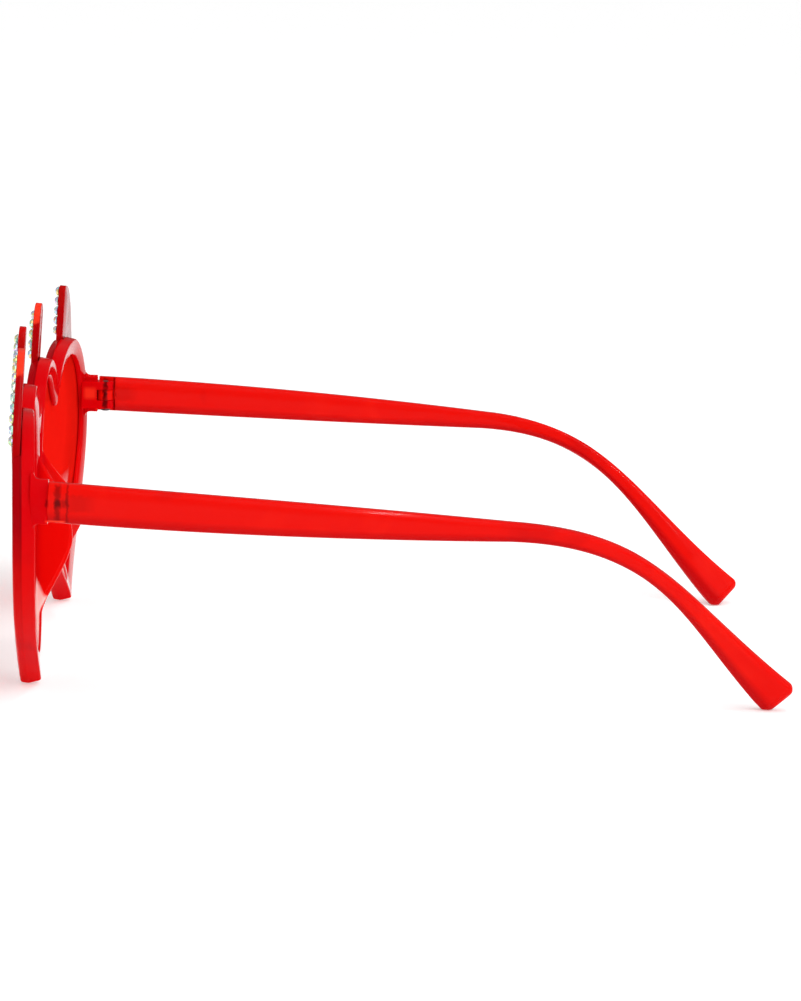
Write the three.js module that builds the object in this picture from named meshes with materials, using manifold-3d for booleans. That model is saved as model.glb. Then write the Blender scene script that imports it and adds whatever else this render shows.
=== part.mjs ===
// Heart-shaped party glasses: one moulded front with snapped-in lenses, two temples that fold on
// pinned hinges, four glued crest points over the lobes of the hearts, and stones set on the crests.
// Millimetres, +Z up. The front looks along -Y, the temples run back along +Y, and the wearer's
// left is +X. The glasses stand on the tips of the hearts and of the temples.

import * as THREE from 'three';
import { mergeVertices } from 'three/addons/utils/BufferGeometryUtils.js';
import Module from 'manifold-3d';

// Hearts of the front
const HEART_HALF_WIDTH = 35.7;
const HEART_HEIGHT = 54.8;
const HEART_GAP = 5.6;
const SHOULDER_HEIGHT = 36.5;
const OUTER_LOBE_OFFSET = 16.3;
const INNER_LOBE_OFFSET = 18.5;
const LOBE_RADIUS = 18;
const CLEFT_DEPTH = 8.2;
const CLEFT_OFFSET = 4.2;
const TIP_OFFSET = 3.4;
const TIP_FLAT = 0.35;
const TIP_OPENING = 1.4;

// Handles of the heart's curves, as shares of the cleft depth, the shoulder height or the lobe radius
const CLEFT_RUN = 0.36;
const CLEFT_RISE = 0.48;
const CLEFT_INSET_RUN = 0.8;
const CLEFT_INSET_RISE = 0.3;
const CLEFT_INNER_RUN = 0.8;
const FLANK_HANDLE = 0.43;
const TIP_HANDLE = 0.24;
const TIP_INNER_RUN = 0.8;
const TIP_INNER_RISE = 0.92;
const OUTER_LOBE_RISE = 0.7;
const OUTER_LOBE_TOP = 0.58;
const OUTER_LOBE_SIDE = 0.53;
const INNER_LOBE_SIDE = 0.5;
const INNER_LOBE_TOP = 0.5;
const INNER_LOBE_FALL = 0.39;

// Section of the rims, and the wrap and bow of the whole front
const RIM_WIDTH = 3.8;
const RIM_DEPTH = 4.15;
const RIM_EDGE = 0.45;
const RIM_DRAFT = 0.4;
const RIM_BACK_FALL = 0.5;
const WRAP_RADIUS = 600;
const BOW_RADIUS = 372;
const BOW_HEIGHT = 40;

// Lenses and the groove that holds them
const LENS_THICKNESS = 1.2;
const LENS_SETBACK = 1.35;
const LENS_HOLD = 0.8;
const LENS_FIT = 0.25;

// Bridge and moulded nose pads
const BRIDGE_HEIGHT = 43.7;
const BRIDGE_THICKNESS = 4.6;
const BRIDGE_FLARE = 1.5;
const BRIDGE_DEPTH = 3.4;
const BRIDGE_ROOT = 2.8;
const BRIDGE_TOP_ROOT = 4.4;
const NOSE_PAD_REACH = 6.8;
const NOSE_PAD_HEIGHT = 20.5;
const NOSE_PAD_FALL = 12;
const NOSE_PAD_RISE = 18.5;
const NOSE_PAD_FULLNESS = 1.2;
const NOSE_PAD_THICKNESS = 1.4;
const NOSE_PAD_CROWN = 0.8;
const NOSE_PAD_FLAT = 0.3;
const NOSE_PAD_SPLAY = 18;

// End pieces and hinges
const HINGE_HEIGHT = 40.4;
const LUG_REACH = 2.5;
const LUG_HEIGHT = 8;
const LUG_THICKNESS = 3.4;
const LUG_FILLET = 1.1;
const LUG_ROOT = 0.6;
const PIN_INSET = 4.2;
const PIN_SETBACK = 1.7;
const PIN_RADIUS = 0.65;
const PIN_HEAD_RADIUS = 1.05;
const PIN_HEAD_HEIGHT = 0.5;
const PIN_FIT = 0.1;
const KNUCKLE_RADIUS = 1.7;
const KNUCKLE_HEIGHT = 1.75;
const HINGE_FIT = 0.3;

// Temples
const TEMPLE_HINGE_HEIGHT = 7.4;
const TEMPLE_BEND_HEIGHT = 3.7;
const TEMPLE_WAIST_HEIGHT = 3.05;
const TEMPLE_TIP_HEIGHT = 7.7;
const TEMPLE_THICKNESS = 3.5;
const TEMPLE_WAIST_THICKNESS = 3;
const TEMPLE_SKIN = 2.2;
const SHAFT_LENGTH = 82.5;
const SHAFT_DROP = 4;
const SHAFT_BOW = 2.6;
const SHAFT_TAPER = 2;
const EAR_REACH = 51.9;
const EAR_TUCK = 18.4;
const EAR_WAIST = 0.38;
const EAR_SWELL = 2;
const EAR_TWIST = 24;
const EAR_RUN_IN = 28.3;
const EAR_RUN_OUT = [2.5, 18.7, 17.3];
const TIP_HEIGHT = 2.6;
const TIP_ROUND = 1.5;

// Crest points and stones
const CREST_RISE = 11.2;
const CREST_THICKNESS = 1.35;
const CREST_FOOT = 1.6;
const CREST_FIT = 0.3;
const TAB_RADIUS = 2.6;
const FIN_RADIUS = 1.3;
const FIN_BULGE = 10;
const FIN_SWEEP = 14.2;
const FIN_TURN = 0.03;
const STONE_DIAMETER = 1.9;
const STONE_HEIGHT = 0.7;
const STONE_GIRDLE = 0.25;
const STONE_TABLE = 1.1;
const STONE_GAP = 0.15;
const STONE_MARGIN = 0.35;
const STONE_GLUE = 0.1;
const TAB_ROW_STONES = 4;
const FIN_ROW_STONES = 10;

// Steps of the curves
const HEART_STEPS = 10;
const LENS_RINGS = 3;
const NOSE_PAD_STEPS = 12;
const TEMPLE_STEPS = 13;
const TEMPLE_SIDES = 16;
const TEMPLE_SQUARENESS = 3.6;
const END_STEPS = 3;
const CREST_STEPS = 8;
const ROUND_SIDES = 20;
const STONE_SIDES = 8;
const WALK_STEP = 0.1;
const OVERSHOOT = 2;

// Places that follow from the sizes above
const HEART_CENTRE = HEART_GAP / 2 + HEART_HALF_WIDTH;
const RIM_OUTER = HEART_CENTRE + HEART_HALF_WIDTH;
const PIN_X = RIM_OUTER - PIN_INSET;
const LUG_END = RIM_DEPTH + sag(PIN_X, HINGE_HEIGHT) + LUG_REACH;
const PIN_Y = LUG_END + HINGE_FIT + PIN_SETBACK;
const BUTT_Y = -PIN_SETBACK;
const KNUCKLE_PITCH = KNUCKLE_HEIGHT + HINGE_FIT;
const STACK_TOP = KNUCKLE_PITCH + KNUCKLE_HEIGHT / 2;
const STONE_PITCH = STONE_DIAMETER + STONE_GAP;

const RED_PLASTIC = new THREE.MeshStandardMaterial({ color: 0xd80b10, roughness: 0.18, metalness: 0 });
const RED_LENS = new THREE.MeshStandardMaterial({ color: 0xe3140c, roughness: 0.1, metalness: 0 });
const PIN_STEEL = new THREE.MeshStandardMaterial({ color: 0x6b6866, roughness: 0.35, metalness: 1 });
const CUT_STONE = new THREE.MeshStandardMaterial({ color: 0xe6efe9, roughness: 0.08, metalness: 0.2 });

const wasm = await Module();
wasm.setup();

// Solids and geometry

function solidOf(geometry) {
  const bare = geometry.clone();
  bare.deleteAttribute('normal');
  bare.deleteAttribute('uv');
  const merged = mergeVertices(bare, 1e-4);
  const mesh = new wasm.Mesh({
    numProp: 3,
    vertProperties: new Float32Array(merged.attributes.position.array),
    triVerts: new Uint32Array(merged.index.array),
  });
  return new wasm.Manifold(mesh);
}

function geometryOf(solid) {
  const mesh = solid.getMesh();
  return meshGeometry(Array.from(mesh.vertProperties), Array.from(mesh.triVerts));
}

function meshGeometry(positions, triangles) {
  const geometry = new THREE.BufferGeometry();
  geometry.setAttribute('position', new THREE.Float32BufferAttribute(positions, 3));
  geometry.setIndex(triangles);
  geometry.computeVertexNormals();
  return geometry;
}

function joined(geometries) {
  return geometryOf(geometries.map(solidOf).reduce((sum, solid) => sum.add(solid)));
}

function common(geometry, limit) {
  return geometryOf(solidOf(geometry).intersect(solidOf(limit)));
}

function cut(geometry, cutters) {
  return geometryOf(cutters.map(solidOf).reduce((left, solid) => left.subtract(solid), solidOf(geometry)));
}

// The same shape on the other side of the wearer's middle plane.
function mirrored(geometry) {
  const copy = mergeVertices(geometry.clone().deleteAttribute('normal'), 1e-4);
  copy.scale(-1, 1, 1);
  const order = copy.index.array;
  for (let i = 0; i < order.length; i += 3) {
    [order[i], order[i + 1]] = [order[i + 1], order[i]];
  }
  copy.computeVertexNormals();
  return copy;
}

function block(x0, x1, y0, y1, z0, z1) {
  const geometry = new THREE.BoxGeometry(x1 - x0, y1 - y0, z1 - z0);
  return geometry.translate((x0 + x1) / 2, (y0 + y1) / 2, (z0 + z1) / 2);
}

function post(radius, z0, z1) {
  const geometry = new THREE.CylinderGeometry(radius, radius, z1 - z0, ROUND_SIDES);
  return geometry.rotateX(Math.PI / 2).translate(0, 0, (z0 + z1) / 2);
}

// A flat outline of (x, z) points, made solid from one depth to another.
function slab(outline, depth0, depth1) {
  const shape = new THREE.Shape(outline);
  const geometry = new THREE.ExtrudeGeometry(shape, { depth: depth1 - depth0, bevelEnabled: false });
  return geometry.rotateX(Math.PI / 2).translate(0, depth1, 0);
}

// A skin through rings of equal length. Closed rings join the last to the first, and open ones
// are capped with a fan at each end.
function loft(rings, closed) {
  const sides = rings[0].length;
  const positions = rings.flat().flatMap((point) => point.toArray());
  const triangles = [];
  const spans = closed ? rings.length : rings.length - 1;
  for (let i = 0; i < spans; i += 1) {
    const here = i * sides;
    const next = ((i + 1) % rings.length) * sides;
    for (let j = 0; j < sides; j += 1) {
      const k = (j + 1) % sides;
      triangles.push(here + j, next + j, next + k, here + j, next + k, here + k);
    }
  }
  if (!closed) {
    capEnd(rings[0], 0, positions, triangles, false);
    capEnd(rings.at(-1), (rings.length - 1) * sides, positions, triangles, true);
  }
  return meshGeometry(positions, triangles);
}

function capEnd(ring, start, positions, triangles, last) {
  const middle = new THREE.Vector3();
  ring.forEach((point) => middle.addScaledVector(point, 1 / ring.length));
  const hub = positions.length / 3;
  positions.push(...middle.toArray());
  ring.forEach((_, j) => {
    const k = (j + 1) % ring.length;
    triangles.push(...(last ? [hub, start + k, start + j] : [hub, start + j, start + k]));
  });
}

// The curved front

function sag(x, z) {
  return x ** 2 / (2 * WRAP_RADIUS) + (z - BOW_HEIGHT) ** 2 / (2 * BOW_RADIUS);
}

// A point of the flat front, at a depth behind its face, on the wrapped and bowed front.
function onFront(x, depth, z) {
  const turn = x / WRAP_RADIUS;
  const lean = (z - BOW_HEIGHT) / BOW_RADIUS;
  return new THREE.Vector3(x - depth * turn, depth + sag(x, z), z - depth * lean);
}

function bent(geometry) {
  const copy = geometry.clone();
  const place = copy.attributes.position;
  for (let i = 0; i < place.count; i += 1) {
    const point = onFront(place.getX(i), place.getY(i), place.getZ(i));
    place.setXYZ(i, point.x, point.y, point.z);
  }
  copy.computeVertexNormals();
  return copy;
}

// Six curves of the left heart, from the cleft outboard over the outer lobe, down to the tip and
// back up over the inner lobe. An inset moves the whole outline inwards.
function heartCurves(inset) {
  const shrink = 1 - inset / LOBE_RADIUS;
  const at = (x, z) => new THREE.Vector2(HEART_CENTRE + x, z);
  const top = HEART_HEIGHT - inset;
  const side = HEART_HALF_WIDTH - inset;
  const cleft = at(-CLEFT_OFFSET, HEART_HEIGHT - CLEFT_DEPTH - inset);
  const outerTop = at(OUTER_LOBE_OFFSET, top);
  const outerSide = at(side, SHOULDER_HEIGHT);
  const tip = at(TIP_OFFSET, inset * TIP_OPENING - TIP_FLAT);
  const innerSide = at(-side, SHOULDER_HEIGHT);
  const innerTop = at(-INNER_LOBE_OFFSET, top);
  const reach = (from, x, z) => from.clone().add(new THREE.Vector2(x, z));
  const round = LOBE_RADIUS * shrink;
  const cleftRun = CLEFT_DEPTH * CLEFT_RUN + inset * CLEFT_INSET_RUN;
  const cleftRise = CLEFT_DEPTH * CLEFT_RISE - inset * CLEFT_INSET_RISE;
  const intoCleft = reach(cleft, -CLEFT_INNER_RUN * cleftRun, cleftRise);
  const flank = SHOULDER_HEIGHT * FLANK_HANDLE * shrink;
  const point = SHOULDER_HEIGHT * TIP_HANDLE;
  const outOfTip = reach(tip, -TIP_INNER_RUN * point, TIP_INNER_RISE * point);
  const lobe = LOBE_RADIUS * OUTER_LOBE_RISE;
  const ontoOuterSide = reach(outerSide, 0, OUTER_LOBE_SIDE * round);
  const offInnerSide = reach(innerSide, 0, INNER_LOBE_SIDE * round);
  const curve = (...points) => new THREE.CubicBezierCurve(...points);
  return {
    outerRise: curve(cleft, reach(cleft, cleftRun, cleftRise), reach(outerTop, -lobe, 0), outerTop),
    outerFall: curve(outerTop, reach(outerTop, OUTER_LOBE_TOP * round, 0), ontoOuterSide, outerSide),
    outerFlank: curve(outerSide, reach(outerSide, 0, -flank), reach(tip, point, point), tip),
    innerFlank: curve(tip, outOfTip, reach(innerSide, 0, -flank), innerSide),
    innerRise: curve(innerSide, offInnerSide, reach(innerTop, -INNER_LOBE_TOP * round, 0), innerTop),
    innerFall: curve(innerTop, reach(innerTop, INNER_LOBE_FALL * round, 0), intoCleft, cleft),
  };
}

function heartOutline(inset) {
  const curves = Object.values(heartCurves(inset));
  return curves.flatMap((curve) => curve.getPoints(HEART_STEPS).slice(0, -1));
}

function heartRing(inset, depth) {
  return heartOutline(inset).map((point) => new THREE.Vector3(point.x, depth, point.y));
}

// Section of the rim as inset and depth, round the lens groove. Its back falls towards the opening.
function rimSection() {
  const grooveFloor = RIM_WIDTH - LENS_HOLD - LENS_FIT;
  const grooveFront = LENS_SETBACK - LENS_FIT;
  const grooveBack = LENS_SETBACK + LENS_THICKNESS + LENS_FIT;
  const innerDepth = RIM_DEPTH - RIM_BACK_FALL;
  return [
    [0, RIM_EDGE],
    [RIM_EDGE, 0],
    [RIM_WIDTH - RIM_EDGE, 0],
    [RIM_WIDTH, RIM_EDGE],
    [RIM_WIDTH, grooveFront],
    [grooveFloor, grooveFront],
    [grooveFloor, grooveBack],
    [RIM_WIDTH, grooveBack],
    [RIM_WIDTH, innerDepth - RIM_EDGE],
    [RIM_WIDTH - RIM_EDGE, innerDepth],
    [RIM_DRAFT + RIM_EDGE, RIM_DEPTH],
    [RIM_DRAFT, RIM_DEPTH - RIM_EDGE],
  ];
}

function flatRim() {
  return loft(rimSection().map(([inset, depth]) => heartRing(inset, depth)), true);
}

// The lens reaches into the groove all round and follows the wrap of the front.
function lensGeometry() {
  const edge = heartOutline(RIM_WIDTH - LENS_HOLD);
  const middle = new THREE.Vector2(HEART_CENTRE, SHOULDER_HEIGHT);
  const ringAt = (share, depth) => edge.map((point) => {
    const place = middle.clone().lerp(point, share);
    return new THREE.Vector3(place.x, depth, place.y);
  });
  const shares = Array.from({ length: LENS_RINGS }, (_, i) => (i + 1) / LENS_RINGS);
  const front = shares.map((share) => ringAt(share, LENS_SETBACK));
  const back = shares.map((share) => ringAt(share, LENS_SETBACK + LENS_THICKNESS));
  return bent(loft([...back, ...front.reverse()], false));
}

// A fin along the inner flank of the heart, highest at the side of the nose and splayed outwards. Its
// two ends run into the rim.
function flatNosePad() {
  const { degToRad, lerp } = THREE.MathUtils;
  const splay = Math.tan(degToRad(NOSE_PAD_SPLAY));
  const half = NOSE_PAD_THICKNESS / 2;
  const root = RIM_DEPTH - RIM_EDGE - half;
  const rings = Array.from({ length: NOSE_PAD_STEPS + 1 }, (_, i) => {
    const away = lerp(-1, 1, i / NOSE_PAD_STEPS);
    const height = NOSE_PAD_HEIGHT + away * (away < 0 ? NOSE_PAD_FALL : NOSE_PAD_RISE);
    const curve = height < SHOULDER_HEIGHT ? 'innerFlank' : 'innerRise';
    const step = stepWhere(heartCurves(0)[curve], (point) => point.y >= height);
    const reach = (NOSE_PAD_REACH + RIM_EDGE) * Math.cos(away * Math.PI / 2) ** NOSE_PAD_FULLNESS;
    const crown = RIM_DEPTH - RIM_EDGE + reach;
    const lean = half + RIM_EDGE + reach * splay;
    const section = [
      [RIM_EDGE, root],
      [lean - NOSE_PAD_CROWN * half, crown - half],
      [lean - NOSE_PAD_FLAT * half, crown],
      [lean + NOSE_PAD_FLAT * half, crown],
      [lean + NOSE_PAD_CROWN * half, crown - half],
      [RIM_EDGE + NOSE_PAD_THICKNESS, root],
    ];
    return section.map(([inset, depth]) => {
      const place = heartCurves(inset)[curve].getPoint(step);
      return new THREE.Vector3(place.x, depth, place.y);
    });
  });
  return loft(rings, false);
}

// The first step along a curve where its point meets a condition.
function stepWhere(curve, reached) {
  let step = 0;
  while (step < 1 && !reached(curve.getPoint(step))) step += WALK_STEP / HEART_HEIGHT;
  return Math.min(step, 1);
}

function flatBridge() {
  const reach = HEART_GAP / 2 + BRIDGE_ROOT;
  const topReach = HEART_GAP / 2 + BRIDGE_TOP_ROOT;
  const half = BRIDGE_THICKNESS / 2;
  const flare = half + BRIDGE_FLARE;
  const shape = new THREE.Path();
  shape.moveTo(-reach, BRIDGE_HEIGHT - flare);
  shape.quadraticCurveTo(0, BRIDGE_HEIGHT - half + BRIDGE_FLARE, reach, BRIDGE_HEIGHT - flare);
  shape.lineTo(topReach, BRIDGE_HEIGHT + flare);
  shape.quadraticCurveTo(0, BRIDGE_HEIGHT + half - BRIDGE_FLARE, -topReach, BRIDGE_HEIGHT + flare);
  const inset = (RIM_DEPTH - BRIDGE_DEPTH) / 2;
  return slab(shape.getPoints(CREST_STEPS), inset, inset + BRIDGE_DEPTH);
}

// Crest points

// The inner crest is an upright tab with a round top. The outer one is a fin, upright on its inner
// side and sweeping down the outer slope of the heart, and turned a little to look straight ahead.
// Each is given by the two curves over its lobe, how far its foot reaches to either side of the
// lobe's top, its tip, and the stones in the row inside each side.
const OUTER_CREST = {
  lobe: ['outerRise', 'outerFall'],
  reach: [TAB_RADIUS, FIN_SWEEP],
  radius: FIN_RADIUS,
  bulge: FIN_BULGE,
  turn: FIN_TURN,
  rows: [TAB_ROW_STONES, FIN_ROW_STONES],
};
const INNER_CREST = {
  lobe: ['innerRise', 'innerFall'],
  reach: [TAB_RADIUS, TAB_RADIUS],
  radius: TAB_RADIUS,
  bulge: 0,
  turn: 0,
  rows: [TAB_ROW_STONES, TAB_ROW_STONES],
};

function lobeTop(crest) {
  const [rise] = crest.lobe;
  return heartCurves(0)[rise].getPoint(1);
}

// Middle of the round tip, beside the upright inner side.
function crestTip(crest) {
  const inside = lobeTop(crest).x - crest.reach[0];
  return new THREE.Vector2(inside + crest.radius, HEART_HEIGHT + CREST_RISE - crest.radius);
}

// The stretch of outline under a crest, lengthened at both ends by a clearance.
function crestFoot(crest, inset, extra) {
  const curves = heartCurves(inset);
  const [up, down] = crest.lobe.map((name) => curves[name]);
  const middle = lobeTop(crest).x;
  const start = stepWhere(up, (point) => point.x >= middle - crest.reach[0] - extra);
  const end = stepWhere(down, (point) => point.x >= middle + crest.reach[1] + extra);
  const steps = Array.from({ length: CREST_STEPS + 1 }, (_, i) => i / CREST_STEPS);
  const rising = steps.slice(0, -1).map((share) => up.getPoint(THREE.MathUtils.lerp(start, 1, share)));
  return [...rising, ...steps.map((share) => down.getPoint(share * end))];
}

// The two sides of a crest, each from the round tip down to its foot.
function crestSides(crest) {
  const foot = crestFoot(crest, 0, 0);
  const tip = crestTip(crest);
  const beside = (x, z) => new THREE.Vector2(tip.x + x, tip.y + z);
  const { bulge, radius } = crest;
  const inner = new THREE.LineCurve(beside(-radius, 0), foot[0]);
  const upright = new THREE.LineCurve(beside(radius, 0), foot.at(-1));
  const swept = new THREE.QuadraticBezierCurve(beside(0, radius), beside(bulge, radius), foot.at(-1));
  return [inner, bulge > 0 ? swept : upright];
}

function crestOutline(crest) {
  const [inner, outer] = crestSides(crest);
  const tip = crestTip(crest);
  const start = crest.bulge > 0 ? Math.PI / 2 : 0;
  const arc = new THREE.ArcCurve(tip.x, tip.y, crest.radius, start, Math.PI);
  return [
    ...crestFoot(crest, CREST_FOOT, 0),
    ...outer.getPoints(crest.bulge > 0 ? CREST_STEPS : 1).reverse(),
    ...arc.getPoints(CREST_STEPS).slice(1, -1),
    ...inner.getPoints(1),
  ];
}

// How far the turn of a crest sets it back at a distance from the middle of the glasses.
function setBack(crest, x) {
  return crest.turn * (lobeTop(crest).x + crest.reach[1] - x);
}

function turned(crest, geometry) {
  const place = geometry.attributes.position;
  for (let i = 0; i < place.count; i += 1) {
    place.setY(i, place.getY(i) + setBack(crest, place.getX(i)));
  }
  return geometry;
}

function crestGeometry(crest) {
  return bent(turned(crest, slab(crestOutline(crest), 0, CREST_THICKNESS)));
}

// The rebate in the front of the rim that a crest is glued into.
function crestRebate(crest) {
  const floor = crestFoot(crest, CREST_FOOT + CREST_FIT, CREST_FIT);
  const outside = crestFoot(crest, -OVERSHOOT, CREST_FIT).reverse();
  return turned(crest, slab([...floor, ...outside], -OVERSHOOT, CREST_THICKNESS + CREST_FIT));
}

// Stones

// A round flat-backed stone: a short girdle, a ring of crown facets and a flat table.
function stoneGeometry() {
  const radius = STONE_DIAMETER / 2;
  const points = [
    new THREE.Vector2(0, 0),
    new THREE.Vector2(radius, 0),
    new THREE.Vector2(radius, STONE_GIRDLE),
    new THREE.Vector2(STONE_TABLE / 2, STONE_HEIGHT),
    new THREE.Vector2(0, STONE_HEIGHT),
  ];
  return new THREE.LatheGeometry(points, STONE_SIDES);
}

// Centres of the stones on a crest: one in the middle of the tip, then a row inside each side, each
// as close below the last as the pitch allows.
function stonePlaces(crest) {
  const places = [crestTip(crest)];
  const inset = STONE_DIAMETER / 2 + STONE_MARGIN;
  crestSides(crest).forEach((side, i) => {
    const inward = i === 0 ? inset : -inset;
    const count = places.length + crest.rows[i];
    for (let step = 0; step < 1 && places.length < count; step += WALK_STEP / side.getLength()) {
      const along = side.getTangent(step);
      const place = side.getPoint(step).add(new THREE.Vector2(-along.y, along.x).multiplyScalar(inward));
      if (places.every((other) => other.distanceTo(place) >= STONE_PITCH)) places.push(place);
    }
  });
  return places;
}

// A stone's place on the crest's face, with its table turned to the front.
function setStone(mesh, crest, place, side) {
  const back = setBack(crest, place.x) - STONE_GLUE;
  const seat = onFront(place.x, back, place.y);
  const above = onFront(place.x + crest.turn * STONE_HEIGHT, back - STONE_HEIGHT, place.y);
  const ahead = above.sub(seat).normalize();
  mesh.position.set(side * seat.x, seat.y, seat.z);
  mesh.quaternion.setFromUnitVectors(new THREE.Vector3(0, 1, 0), ahead.setX(side * ahead.x));
  return mesh;
}

// End pieces and hinges, drawn about the pin of the left hinge

// Side view of the end piece, filleted into the back of the rim above and below.
function lugGeometry() {
  const half = LUG_HEIGHT / 2;
  const end = BUTT_Y - HINGE_FIT;
  const rimBack = end - LUG_REACH;
  const root = rimBack - LUG_ROOT;
  const shape = new THREE.Path();
  shape.moveTo(root, -half - LUG_FILLET);
  shape.lineTo(rimBack, -half - LUG_FILLET);
  shape.quadraticCurveTo(rimBack, -half, rimBack + LUG_FILLET, -half);
  shape.lineTo(end, -half);
  shape.lineTo(end, half);
  shape.lineTo(rimBack + LUG_FILLET, half);
  shape.quadraticCurveTo(rimBack, half, rimBack, half + LUG_FILLET);
  shape.lineTo(root, half + LUG_FILLET);
  const outline = new THREE.Shape(shape.getPoints(CREST_STEPS));
  const geometry = new THREE.ExtrudeGeometry(outline, { depth: LUG_THICKNESS, bevelEnabled: false });
  geometry.applyMatrix4(new THREE.Matrix4().set(0, 0, 1, 0, 1, 0, 0, 0, 0, 1, 0, 0, 0, 0, 0, 1));
  return geometry.translate(PIN_INSET - LUG_THICKNESS, 0, 0);
}

// Two knuckles of the front, above and below the temple's, on a block behind the rim.
function frontKnuckles() {
  const end = BUTT_Y - HINGE_FIT;
  const root = end - LUG_REACH - LUG_ROOT;
  const joint = PIN_INSET - LUG_THICKNESS + PIN_FIT;
  const pieces = [block(-KNUCKLE_RADIUS, joint, root, end, -STACK_TOP, STACK_TOP)];
  [-KNUCKLE_PITCH, KNUCKLE_PITCH].forEach((middle) => {
    const low = middle - KNUCKLE_HEIGHT / 2;
    const high = middle + KNUCKLE_HEIGHT / 2;
    pieces.push(post(KNUCKLE_RADIUS, low, high));
    pieces.push(block(-KNUCKLE_RADIUS, KNUCKLE_RADIUS, end - PIN_FIT, 0, low, high));
  });
  return joined(pieces);
}

function pinBore() {
  return post(PIN_RADIUS + PIN_FIT, -STACK_TOP - OVERSHOOT, STACK_TOP + OVERSHOOT);
}

// A headed pin, pushed in from below.
function pinGeometry() {
  const profile = [
    [0, -STACK_TOP],
    [PIN_RADIUS, -STACK_TOP],
    [PIN_RADIUS, STACK_TOP + PIN_FIT],
    [PIN_HEAD_RADIUS, STACK_TOP + PIN_FIT],
    [PIN_HEAD_RADIUS, STACK_TOP + PIN_FIT + PIN_HEAD_HEIGHT],
    [0, STACK_TOP + PIN_FIT + PIN_HEAD_HEIGHT],
  ];
  const points = profile.map(([x, y]) => new THREE.Vector2(x, y));
  return new THREE.LatheGeometry(points, ROUND_SIDES).rotateX(-Math.PI / 2);
}

// The moulded front

function frontGeometry() {
  const rebates = [OUTER_CREST, INNER_CREST].map(crestRebate);
  const leftHeart = joined([cut(flatRim(), rebates), flatNosePad()]);
  const hearts = bent(joined([leftHeart, mirrored(leftHeart), flatBridge()]));
  const hinge = cut(joined([lugGeometry(), frontKnuckles()]), [pinBore()]);
  const outline = slab(heartOutline(0), 0, PIN_Y + PIN_SETBACK + OVERSHOOT);
  const leftHinge = common(hinge.translate(PIN_X, PIN_Y, HINGE_HEIGHT), outline);
  const whole = joined([hearts, leftHinge, mirrored(leftHinge)]);
  const width = RIM_OUTER + OVERSHOOT;
  const table = block(-width, width, -width, width, -HEART_HEIGHT, 0);
  return cut(whole, [table]);
}

// Temples, drawn about the pin of the left hinge

// Middle line of the left temple: a gently bowed shaft, then the ear piece that turns down and in
// until its tip meets the table.
function templeLine() {
  const outside = PIN_INSET - TEMPLE_THICKNESS / 2;
  const start = new THREE.Vector3(outside, BUTT_Y, 0);
  const bend = new THREE.Vector3(outside - SHAFT_BOW / 2, SHAFT_LENGTH, -SHAFT_DROP);
  const tip = new THREE.Vector3(bend.x - EAR_TUCK, bend.y + EAR_REACH, TIP_HEIGHT - HINGE_HEIGHT);
  const third = SHAFT_LENGTH / 3;
  const leaving = new THREE.Vector3(-SHAFT_BOW, third, -SHAFT_DROP / 3);
  const [tuck, run, fall] = EAR_RUN_OUT;
  const line = new THREE.CurvePath();
  line.add(new THREE.CubicBezierCurve3(
    start,
    start.clone().add(new THREE.Vector3(SHAFT_BOW, third, -SHAFT_DROP / 3)),
    bend.clone().sub(leaving),
    bend,
  ));
  line.add(new THREE.CubicBezierCurve3(
    bend,
    bend.clone().addScaledVector(leaving.normalize(), EAR_RUN_IN),
    tip.clone().add(new THREE.Vector3(tuck, -run, fall)),
    tip,
  ));
  return line;
}

// Height, thickness and twist of the temple at a share of its shaft or of its ear piece, which is
// slimmest at the waist.
function templeSection(onEar, share) {
  const { degToRad, lerp, smoothstep } = THREE.MathUtils;
  if (!onEar) {
    return {
      height: lerp(TEMPLE_HINGE_HEIGHT, TEMPLE_BEND_HEIGHT, share ** SHAFT_TAPER),
      thickness: lerp(TEMPLE_THICKNESS, TEMPLE_WAIST_THICKNESS, share),
      twist: 0,
    };
  }
  const before = Math.max(0, 1 - share / EAR_WAIST);
  const after = Math.max(0, (share - EAR_WAIST) / (1 - EAR_WAIST));
  const slim = lerp(TEMPLE_WAIST_HEIGHT, TEMPLE_BEND_HEIGHT, before ** 2);
  return {
    height: lerp(slim, TEMPLE_TIP_HEIGHT, after ** EAR_SWELL),
    thickness: TEMPLE_WAIST_THICKNESS,
    twist: degToRad(EAR_TWIST) * smoothstep(share, 0, EAR_WAIST),
  };
}

// One cross-section: a rectangle with full round corners, square to the middle line, its top
// leaning outwards by the twist.
function templeRing(place, along, { height, thickness, twist }) {
  const side = along.clone().cross(new THREE.Vector3(0, 0, 1)).normalize().applyAxisAngle(along, twist);
  const up = side.clone().cross(along);
  const soften = (value) => Math.sign(value) * Math.abs(value) ** (2 / TEMPLE_SQUARENESS);
  return Array.from({ length: TEMPLE_SIDES }, (_, i) => {
    const angle = (i + 0.5) * 2 * Math.PI / TEMPLE_SIDES;
    const across = soften(Math.cos(angle)) * thickness / 2;
    const above = soften(Math.sin(angle)) * height / 2;
    return place.clone().addScaledVector(side, across).addScaledVector(up, above);
  });
}

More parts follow.
